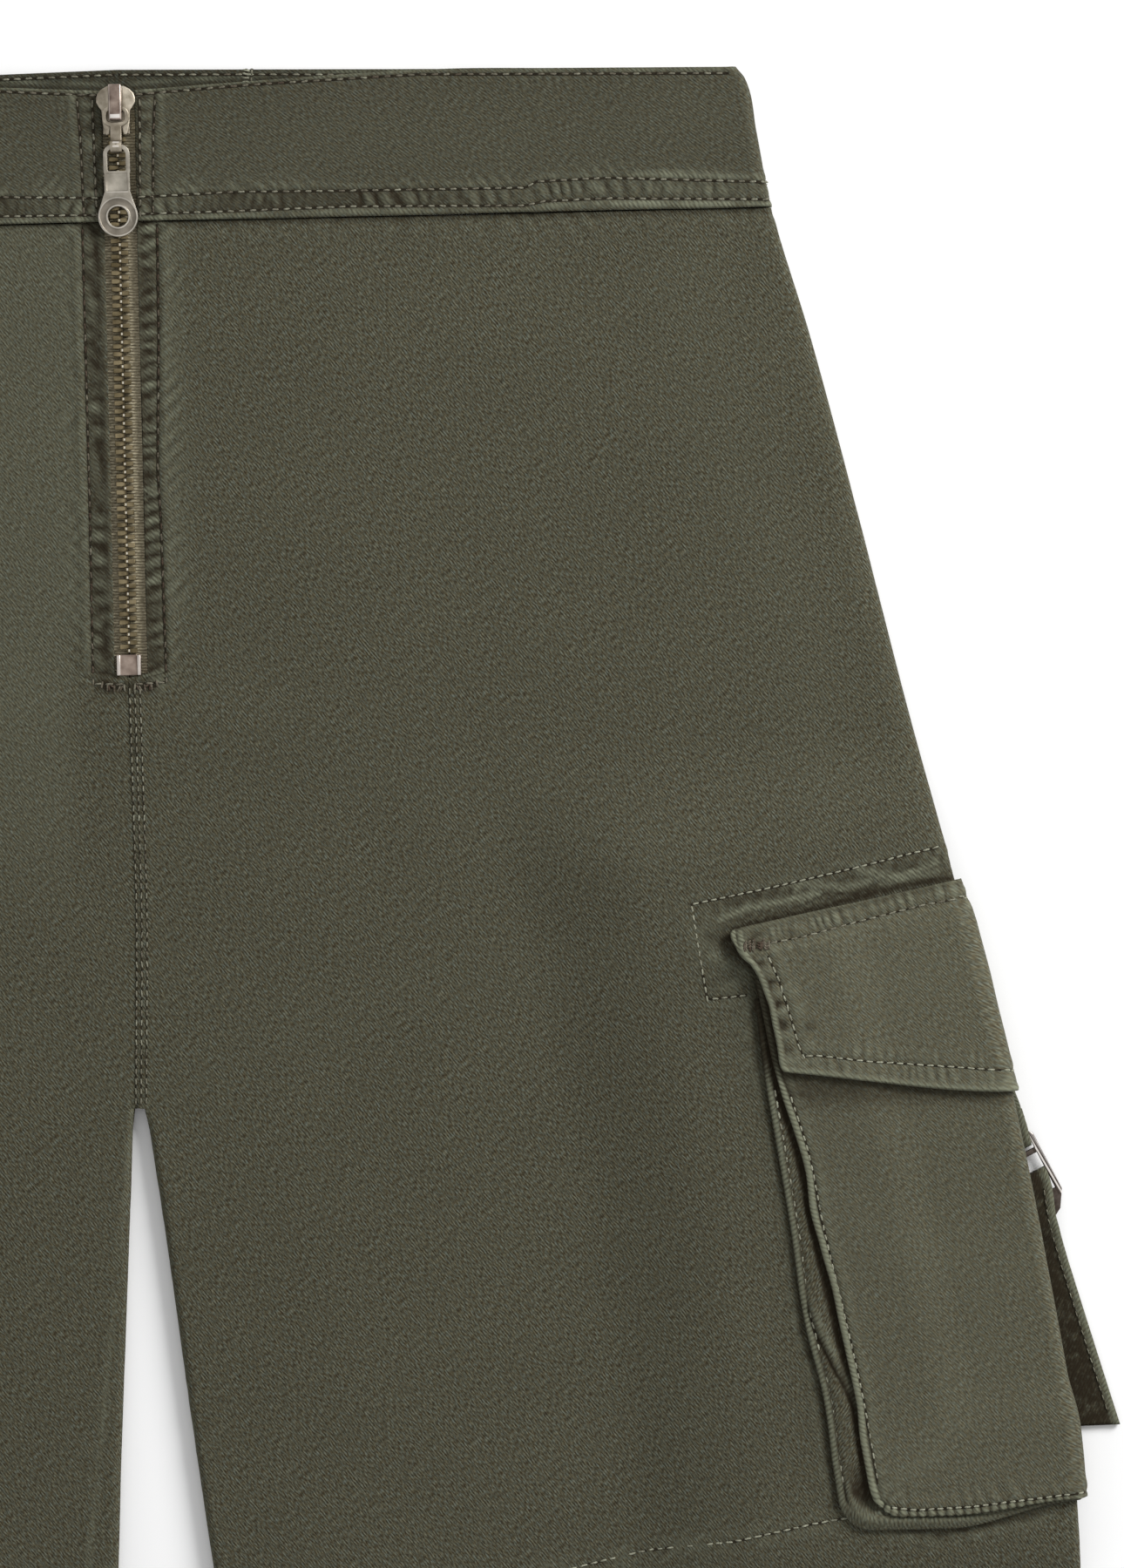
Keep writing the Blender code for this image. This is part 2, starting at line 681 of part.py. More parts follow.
def pull(level, finish, group):
    """The pull: a frame round the link's loop, a plate and a pierced disc."""
    frame_half, frame_foot = PULL_FRAME
    window_half, window_top, window_foot = PULL_WINDOW
    plate_half, plate_foot = PULL_PLATE
    disc_drop, disc_radius, hole_radius = PULL_DISC
    corner = 0.0022
    shoulder = math.degrees(math.asin(plate_half / disc_radius)) + 6
    right = arc((frame_half - corner, window_top - corner), corner, 90, 0, 4)
    right += [(frame_half, -frame_foot + 0.0004), (plate_half, -frame_foot - 0.0006)]
    right += [(plate_half, -plate_foot)]
    right += arc((0, -disc_drop), disc_radius, 90 - shoulder, -90, 12)
    left = [(-x, y) for x, y in reversed(right[:-1])]
    small = 0.0008
    window = arc((window_half - small, -window_top - small), small, 90, 0, 2)
    window += arc((window_half - small, -window_foot + small), small, 0, -90, 2)
    window += [(-x, y) for x, y in reversed(window)]
    hole = arc((0, -disc_drop), hole_radius, 0, 337.5, 15)
    tilt = Matrix.Rotation(PULL_TILT, 4, "X")
    piece = flat_piece("zip_pull", [right + left, window, hole], PULL, 0.0002, tilt,
                       finish, group)
    piece.location = Vector((0, PULL_AXIS + CROTCH_Y, level))


def pocket_edge(height, field):
    return along_from_edge(height, read_row(POCKET, "height", height, field))


def edge_rise(inset):
    """How far the face stands up over the bellows beside its edge, from 0 to 1."""
    return ramp(inset, *FACE_RAMP)


def face_out(inset, above_foot):
    """Distance from the leg to the face's middle surface."""
    over = max(edge_rise(inset), edge_rise(above_foot))
    return FACE_OUT + (CLOTH + SEAM_GAP) * over


def face_foot(share):
    """Height of the face's lower edge, by share from the side fold (0) to its edge (1)."""
    side, sag, corner = FACE_FOOT[2], FACE_FOOT[1], FACE_FOOT[0]
    low = side + (sag - side) * ramp(share, 0.0, 0.65)
    return low + (corner - low) * ramp(share, 0.86, 1.0)


def face_row(side, up, shares):
    """One row of the face, at a share of the way up from its lower edge to its mouth."""
    row = []
    for share in shares:
        reach = abs(share)
        foot = face_foot(reach)
        mouth = POCKET_MOUTH[1] + (POCKET_MOUTH[0] - POCKET_MOUTH[1]) * reach
        height = foot + (mouth - foot) * up
        width = pocket_edge(height, "face")
        if up < 0.06:
            width -= 0.0045 * (1 - up / 0.06)
        along = width * share
        inset = width - abs(along)
        row.append(on_side(side, along, height, face_out(inset, height - foot)))
    return row


def wrap_shares(height, field, flats):
    """Shares across a wrapped piece: some on the flats and a few round the side fold."""
    width = pocket_edge(height, field)
    fold = fold_radius(height, CLOTH) * math.pi / 2
    turned = [fold * share / width for share in (0.33, 0.67, 1.0)]
    half = turned + list(flats)
    return [-share for share in reversed(half)] + [0.0] + half


def pocket_face(side, letter, finish, group):
    shares = wrap_shares(-0.04, "face", (0.30, 0.52, 0.68, 0.86, 0.95, 1.0))
    ups = (0.0, 0.025, 0.06, 0.13, 0.19, 0.32, 0.48, 0.66, 0.84, 1.0)
    rows = [face_row(side, up, shares) for up in ups]
    cloth_wall(f"pocket_face_{letter}", rows, CLOTH, finish, group)


def gusset_track():
    """Stations of the bellows, down the front, under the pocket and up its back.

    Each holds the outer edge, the inner edge and how much of it the face leaves bare."""
    track = []
    corner = GUSSET_CORNER
    for height in (0.0277, 0.0060, -0.0169, -0.0383, -0.0644, -0.0870, -0.1050):
        outer = pocket_edge(height, "gusset")
        bare = outer - pocket_edge(height, "face")
        track.append(((outer, height), (outer - GUSSET_REACH, height), bare))
    outer = pocket_edge(-0.1163, "gusset")
    inner = (outer - GUSSET_REACH, GUSSET_FOOT + GUSSET_REACH)
    for angle in (25, 65):
        turn = math.radians(angle)
        along = outer - corner * (1 - math.cos(turn))
        height = GUSSET_FOOT + corner * (1 - math.sin(turn))
        track.append(((along, height), inner, 0.0060))
    fold = fold_radius(GUSSET_FOOT, CLOTH) * math.pi / 2
    for share, sag, bare in ((0.78, 0.0, 0.0045), (0.45, 0.0002, 0.0040), (0.2, 0.0040, 0.0012)):
        station = ((outer * share, GUSSET_FOOT + sag), (inner[0] * share, inner[1]), bare)
        track.append(station)
    for share in (1.0, 0.67, 0.33, 0.0):
        track.append(((fold * share, GUSSET_FOOT + 0.0068), (fold * share, inner[1]), 0.0))
    return track + [((-a[0], a[1]), (-b[0], b[1]), bare) for a, b, bare in track[-2::-1]]


def pocket_gusset(side, letter, finish, group):
    rows = []
    for column in range(5):
        row = []
        for outer, inner, bare in gusset_track():
            bare = max(bare - GUSSET_CLEAR, GUSSET_REACH * 0.05)
            across = (0.0, bare / 3, bare * 2 / 3, bare, GUSSET_REACH)[column] / GUSSET_REACH
            swell = (0.0, 1.0, 1.0, 0.0, 0.0)[column] * GUSSET_SWELL * bare
            along = outer[0] + (inner[0] - outer[0]) * across
            height = outer[1] + (inner[1] - outer[1]) * across
            row.append(on_side(side, along, height, SEAM_GAP + CLOTH / 2 + swell))
        rows.append(row)
    cloth_wall(f"pocket_gusset_{letter}", rows, CLOTH, finish, group)


def flap_row(side, down, shares):
    """One row of the flap, at a share of the way down from its fold to its point."""
    row = []
    pocket_depth = POCKET_MOUTH[0] - FACE_FOOT[0]
    for share in shares:
        reach = abs(share)
        top = FLAP_TOP[1] + (FLAP_TOP[0] - FLAP_TOP[1]) * reach
        foot = FLAP_FOOT[1] + (FLAP_FOOT[0] - FLAP_FOOT[1]) * ramp(reach, 0.0, 1.3)
        height = top + (foot - top) * down
        corner_height = FLAP_TOP[0] + (FLAP_FOOT[0] - FLAP_TOP[0]) * down
        edge = FLAP_EDGE[0] + (FLAP_EDGE[1] - FLAP_EDGE[0]) * down
        width = along_from_edge(corner_height, edge)
        along = width * share
        inset = max(0.0, pocket_edge(height, "face") - abs(along))
        covered = face_out(inset, pocket_depth) + CLOTH + FLAP_CLEAR
        out = FLAP_ROOT_OUT + (covered - FLAP_ROOT_OUT) * ramp(down, 0.0, 0.22)
        row.append(on_side(side, along, height, out))
    return row


def pocket_flap(side, letter, finish, group):
    shares = wrap_shares(0.02, "face", (0.30, 0.56, 0.72, 0.88, 1.0))
    rows = [flap_row(side, down, shares) for down in (0.0, 0.12, 0.26, 0.55, 0.85, 1.0)]
    cloth_wall(f"pocket_flap_{letter}", rows, CLOTH, finish, group)


def trim_strip(name, side, table, width, finish, group):
    """A strip of trim that lies beside the fold, station by station from its table."""
    rows = []
    for share in (0.0, 0.06, 0.5, 0.94, 1.0):
        row = []
        for station in table:
            slant = math.radians(station.slant)
            x = station.out - width * share * math.cos(slant)
            y = station.height - width * share * math.sin(slant)
            row.append(Vector((side * x, y + CROTCH_Y, station.level)))
        rows.append(row)
    cloth_wall(name, rows, TRIM_CLOTH, finish, group)


def strap_buckle(side, letter, finish, group):
    """The buckle's frame in its own axes: X across from the outer bar, -Y down it."""
    corner = 0.0016
    half = [(0.0, -corner), *arc((corner, -corner), corner, 180, 90, 3)[1:]]
    down = [(0.0, -BUCKLE_SIDE)] + [(x, -y) for x, y in BUCKLE_LIP]
    outer = list(reversed(half)) + down
    across = [(BUCKLE_WIDTH - x, y) for x, y in reversed(outer)]
    slots = []
    for top, foot in BUCKLE_SLOTS:
        left, right = BUCKLE_BAR, BUCKLE_WIDTH - BUCKLE_BAR
        slots.append([(left, -top), (right, -top), (right, -foot), (left, -foot)])
    lean = BUCKLE_LEAN
    axes = Matrix(((-math.cos(lean), -math.sin(lean), 0, BUCKLE_CORNER[0]),
                   (-math.sin(lean), math.cos(lean), 0, BUCKLE_CORNER[1] + CROTCH_Y),
                   (0, 0, -1, BUCKLE_LEVEL),
                   (0, 0, 0, 1)))
    flip = Matrix.Diagonal((side, 1, 1, 1))
    piece = flat_piece(f"strap_buckle_{letter}", [outer + across] + slots, BUCKLE_WALL,
                       0.0002, flip @ axes, finish, group)
    if side < 0:
        piece.data.flip_normals()


def build():
    clear_scene()
    group = collection("cargo_shorts")
    collection("cutters")
    finishes = {
        "cloth": material("olive_cloth", OLIVE),
        "worn": material("olive_worn_cloth", OLIVE_WORN),
        "tape": material("zip_tape", TAPE_BEIGE),
        "brass": material("old_brass", OLD_BRASS),
        "nickel": material("old_nickel", OLD_NICKEL),
    }
    panels(finishes["cloth"], group)
    waistband(finishes["cloth"], group)
    zip_fastener(finishes, group)
    for side, letter in ((1, "L"), (-1, "R")):
        pocket_gusset(side, letter, finishes["cloth"], group)
        pocket_face(side, letter, finishes["worn"], group)
        pocket_flap(side, letter, finishes["worn"], group)
        trim_strip(f"pocket_strap_{letter}", side, STRAP, STRAP_WIDTH, finishes["cloth"], group)
        trim_strip(f"flap_tab_{letter}", side, TAB, TAB_WIDTH, finishes["cloth"], group)
        strap_buckle(side, letter, finishes["nickel"], group)


build()
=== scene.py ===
import json
import math

import bpy
import numpy as np
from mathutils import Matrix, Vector

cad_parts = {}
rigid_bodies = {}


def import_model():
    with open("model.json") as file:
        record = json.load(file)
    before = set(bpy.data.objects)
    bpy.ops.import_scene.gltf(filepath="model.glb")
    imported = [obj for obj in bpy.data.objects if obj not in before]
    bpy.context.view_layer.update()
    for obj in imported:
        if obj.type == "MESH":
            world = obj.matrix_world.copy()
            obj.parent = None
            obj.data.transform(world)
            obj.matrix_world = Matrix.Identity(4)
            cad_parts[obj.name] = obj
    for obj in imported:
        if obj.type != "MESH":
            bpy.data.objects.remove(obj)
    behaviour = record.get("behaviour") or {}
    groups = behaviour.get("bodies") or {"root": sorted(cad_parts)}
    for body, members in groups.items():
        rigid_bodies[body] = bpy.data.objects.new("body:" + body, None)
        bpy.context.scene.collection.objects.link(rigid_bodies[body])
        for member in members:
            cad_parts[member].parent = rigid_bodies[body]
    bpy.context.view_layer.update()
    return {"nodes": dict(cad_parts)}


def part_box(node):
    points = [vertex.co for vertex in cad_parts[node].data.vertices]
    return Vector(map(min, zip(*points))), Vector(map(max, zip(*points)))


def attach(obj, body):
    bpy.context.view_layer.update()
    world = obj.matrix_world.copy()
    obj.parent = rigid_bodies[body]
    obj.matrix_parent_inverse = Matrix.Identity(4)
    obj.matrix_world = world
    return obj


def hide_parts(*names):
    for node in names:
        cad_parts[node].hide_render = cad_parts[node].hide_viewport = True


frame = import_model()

print("frame loaded:", len(frame["nodes"]), "nodes")

# sizes in metres, heights above the crotch along Y
shorts = {
    "cloth": 0.0012,
    "bandCloth": 0.0018,
    "trimCloth": 0.0010,
    "seamGap": 0.0003,
    "foldGap": 0.0007,
    "crotchY": -0.05565,
    "waistSeam": 0.2545,
    "backSeam": 0.2570,
    "hemInner": -0.1872,
    "hemOuter": -0.1452,
    "hemStart": -0.127,
    "bodyInside": 0.0022,
    "zipInside": 0.0030,
    "zipBottom": 0.1236,
    "zipEdge": {1: 0.0053, -1: 0.0042},
    "stack": 0.0054,
    "stackInward": (0.130, 0.088),
    "stackAbove": (0.104, 0.064),
    "stackBelow": (-0.168, -0.127),
}
sideRows = [  # height, half width at the side fold
    (0.3000, 0.1765), (0.2945, 0.1783), (0.2915, 0.1806), (0.2764, 0.1835), (0.2543, 0.1874),
    (0.2173, 0.1976), (0.1657, 0.2102), (0.1155, 0.2218), (0.0702, 0.2328), (0.0000, 0.2487),
    (-0.0480, 0.2573), (-0.0982, 0.2648), (-0.1382, 0.2668), (-0.1900, 0.2672)]
inseamRows = [  # height, inner fold of the left leg, of the right leg
    (0.0000, 0.0016, 0.0016), (-0.0296, 0.0056, 0.0034), (-0.0648, 0.0098, 0.0055),
    (-0.0949, 0.0133, 0.0073), (-0.1250, 0.0171, 0.0088), (-0.1900, 0.0261, 0.0124)]
bandTop = [  # across, upper edge of the front band, of the back band
    (0.000, 0.2920, 0.2985), (0.038, 0.2942, 0.2977), (0.087, 0.2961, 0.2966),
    (0.117, 0.2956, 0.2958), (0.180, 0.2945, 0.2945)]
swells = [  # across, height, reach across, reach along, rise
    (0.190, 0.115, 0.055, 0.085, 0.0008), (0.100, 0.175, 0.040, 0.070, -0.0004),
    (0.085, 0.020, 0.045, 0.110, 0.0006), (0.128, -0.115, 0.022, 0.085, -0.0006),
    (0.160, -0.095, 0.018, 0.080, 0.0006), (0.060, -0.100, 0.025, 0.070, 0.0004)]
pocketRows = [  # height, edge of the face, edge of the bellows
    (0.0440, 0.1755, 0.1745), (0.0277, 0.1788, 0.1772), (0.0060, 0.1827, 0.1795),
    (-0.0169, 0.1892, 0.1829), (-0.0383, 0.1930, 0.1860), (-0.0644, 0.1986, 0.1892),
    (-0.0870, 0.2031, 0.1943), (-0.1106, 0.2068, 0.1970), (-0.1250, 0.2090, 0.1992)]


letters = {1: "L", -1: "R"}


def ramp(value, start, end):
    share = np.clip((value - start) / (end - start), 0.0, 1.0)
    return share * share * (3.0 - 2.0 * share)


def readRow(rows, column, value):
    table = np.array(sorted(rows))
    at, out = table[:, 0], table[:, column]
    value = np.asarray(value, float)
    slopes = np.diff(out) / np.diff(at)
    i = np.clip(np.searchsorted(at[1:-1], value, side="right"), 0, len(slopes) - 1)
    width = at[i + 1] - at[i]
    t = np.clip((value - at[i]) / width, 0.0, 1.0)
    before = (slopes[np.maximum(0, i - 1)] + slopes[i]) / 2
    after = (slopes[i] + slopes[np.minimum(len(slopes) - 1, i + 1)]) / 2
    bend = t * (1 - t) * ((1 - t) * before - t * after) * width
    return out[i] + (out[i + 1] - out[i]) * t * t * (3 - 2 * t) + bend


def softNoise(x, y, size, seed):  # smooth, from -1 to 1
    grid = np.random.default_rng(seed).uniform(-1, 1, (128, 128))
    u, v = np.asarray(x) / size + 500, np.asarray(y) / size + 500
    i, j = np.floor(u).astype(int), np.floor(v).astype(int)
    a, b = u - i, v - j
    a, b = a * a * (3 - 2 * a), b * b * (3 - 2 * b)
    i, j = i % 127, j % 127
    low = grid[i, j] + (grid[i + 1, j] - grid[i, j]) * a
    high = grid[i, j + 1] + (grid[i + 1, j + 1] - grid[i, j + 1]) * a
    return low + (high - low) * b


def sideEdge(height):
    return readRow(sideRows, 1, height)


def insideRoom(height):
    room = shorts["zipInside"] - shorts["bodyInside"]
    return shorts["bodyInside"] + room * ramp(height, 0.085, 0.115)


def stackLift(inward, height):
    along = ramp(height, *shorts["stackAbove"]) * ramp(height, *shorts["stackBelow"])
    return shorts["stack"] * ramp(inward, *shorts["stackInward"]) * along


def frontSwell(across, height):
    rise = 0.0
    for x, h, reachX, reachY, size in swells:
        rise = rise + size * np.exp(-((across - x) / reachX) ** 2 - ((height - h) / reachY) ** 2)
    return rise * ramp(across, 0.014, 0.040)


def foldRadius(height, wall):
    return (shorts["cloth"] + insideRoom(height) - wall) / 2 + wall


def clothLevel(face, across, height, wall):
    lift = stackLift(sideEdge(height) - across, height)
    top = lift + shorts["cloth"] + insideRoom(height) + wall + frontSwell(across, height)
    return np.where(np.asarray(face) < 0, lift, top)


def placed(side, across, height, z):
    return np.stack([side * across, height + shorts["crotchY"], z], -1)


def onSide(side, along, height, out, wall):  # along the cloth from the side fold
    radius = foldRadius(height, wall)
    middle = sideEdge(height) - radius
    quarter = radius * math.pi / 2
    turning = np.abs(along) <= quarter
    face = np.where(along > 0, 1, -1)
    angle = along / radius
    flatX = middle - (np.abs(along) - quarter)
    x = np.where(turning, middle + (radius + out) * np.cos(angle), flatX)
    turned = stackLift(radius, height) + radius + (radius + out) * np.sin(angle)
    z = np.where(turning, turned, clothLevel(face, flatX, height, wall) + face * out)
    return placed(side, x, height, z)


def alongFromEdge(height, across):
    radius = foldRadius(height, shorts["cloth"])
    return sideEdge(height) - radius - across + radius * math.pi / 2


def lapEdge(height):  # where the left front laps over the right one, under its first row
    return np.interp(height, [0.001, 0.038, 0.058, 0.121], [-0.00105, 0.0, 0.0004, -0.0001])


def innerEdge(side, face, height):
    edge = readRow(inseamRows, 1 if side > 0 else 2, height)
    upper = shorts["zipEdge"][side] if face > 0 else shorts["seamGap"] / 2
    seam = shorts["seamGap"] / 2
    if face > 0:
        seam = lapEdge(height) if side > 0 else -0.0012
    above = np.where(height > shorts["zipBottom"], upper, seam)
    return np.where(height < 0, edge, above)


# lines of sewing in millimetres across and up from the crotch
sewing = {
    "centre": [(1.5, 121), (2.0, 58), (1.6, 38), (0.5, 1)],
    "centreBack": [(1.6, 254), (1.6, 38), (0.5, 1)],
    "flyLeft": [(10.9, 253.5), (10.9, 246), (10.6, 220), (9.5, 183), (10.1, 167), (10.6, 122)],
    "flyRight": [(10.5, 253.5), (10.4, 220), (10.2, 170), (10.4, 122)],
    "flyBand": [(11.2, 292), (10.4, 278), (9.9, 254)],
    "waist": [(0, 254.4), (190, 254.4)],
    "facing": [(174.9, 28.6), (163.5, 27.6), (161.5, 41.1), (159.6, 54.9), (182, 59.1),
               (207.6, 64.5), (220.4, 67.5), (231.4, 69.9)],
    "flapTop": [(170.6, 45.6), (172.7, 47.5), (197.1, 53), (220.2, 58.5), (242, 61.6)],
    "besideFlap": [(184, 9), (180, 28.5), (176.5, 37.5), (170.6, 45.6)],
    "besidePocket": [(177.2, 27.7), (178, 8.9), (181.1, -1.4), (182.8, -13.1), (185.7, -30),
                     (188, -48.9), (189.5, -67.9), (193.5, -81), (196.2, -105.6),
                     (197.8, -116.1), (203.8, -121.6), (226.2, -126.2), (254.6, -121.2)],
    "hem": [(24, -151.6), (60, -145.4), (122, -134.9), (143.6, -130.1), (166.9, -127.8),
            (190.3, -123.1), (203.3, -121.1), (264, -111)],
    "hemEdge": [(25.7, -187.2), (267.3, -145.2)],
    "inseam": [(1.6, 0), (5.6, -29.6), (9.8, -64.8), (13.3, -94.9), (17.1, -125), (25.7, -187.2)],
    "bandFoot": [(5, 256.4), (33, 256.6), (66.4, 257.2), (116.7, 256.3), (122.2, 257.4),
                 (140, 257.8), (187.5, 256.4)],
    "bandUpper": [(5, 261.2), (33, 262.1), (66.6, 261.7), (116.8, 261.4), (120.1, 263.1),
                  (140, 263.7), (187, 261.4)],
    "bandTop": [(5, 290.6), (38, 292.7), (86.9, 294.6), (116.9, 294.0), (176, 292.9)],
    "bandEdge": [(4, 292.2), (38, 294.3), (86.9, 296.2), (116.9, 295.6), (180, 294.2)],
    "flapStitch": [(181.4, 43.4), (190.6, 44.9), (207.2, 49), (225.9, 53.3), (240, 55.5)],
    "flapSide": [(180.9, 39.9), (183.9, 32.8), (186.9, 22.6), (189.2, 13.7), (190.6, 10.6)],
    "flapLow": [(190.6, 11.0), (194.9, 11), (210.1, 8.9), (231.8, 7), (251, 5.2)],
    "flapCord": [(173.0, 46.4), (173.3, 43.7), (173.8, 41.4), (175.1, 38.7), (177.4, 36.0)],
    "bellowsFold": [(189.5, -60), (192.2, -68), (197.5, -79.5), (203.5, -91)],
    "bellowsNip": [(199.9, -109.5), (198.9, -113.9), (200.6, -117.4)],
    "beads": [(208.6, -117.5), (212.3, -120.2), (219.8, -121.1), (235.9, -120.5),
              (245.3, -119.5), (267.5, -117.2)],
}


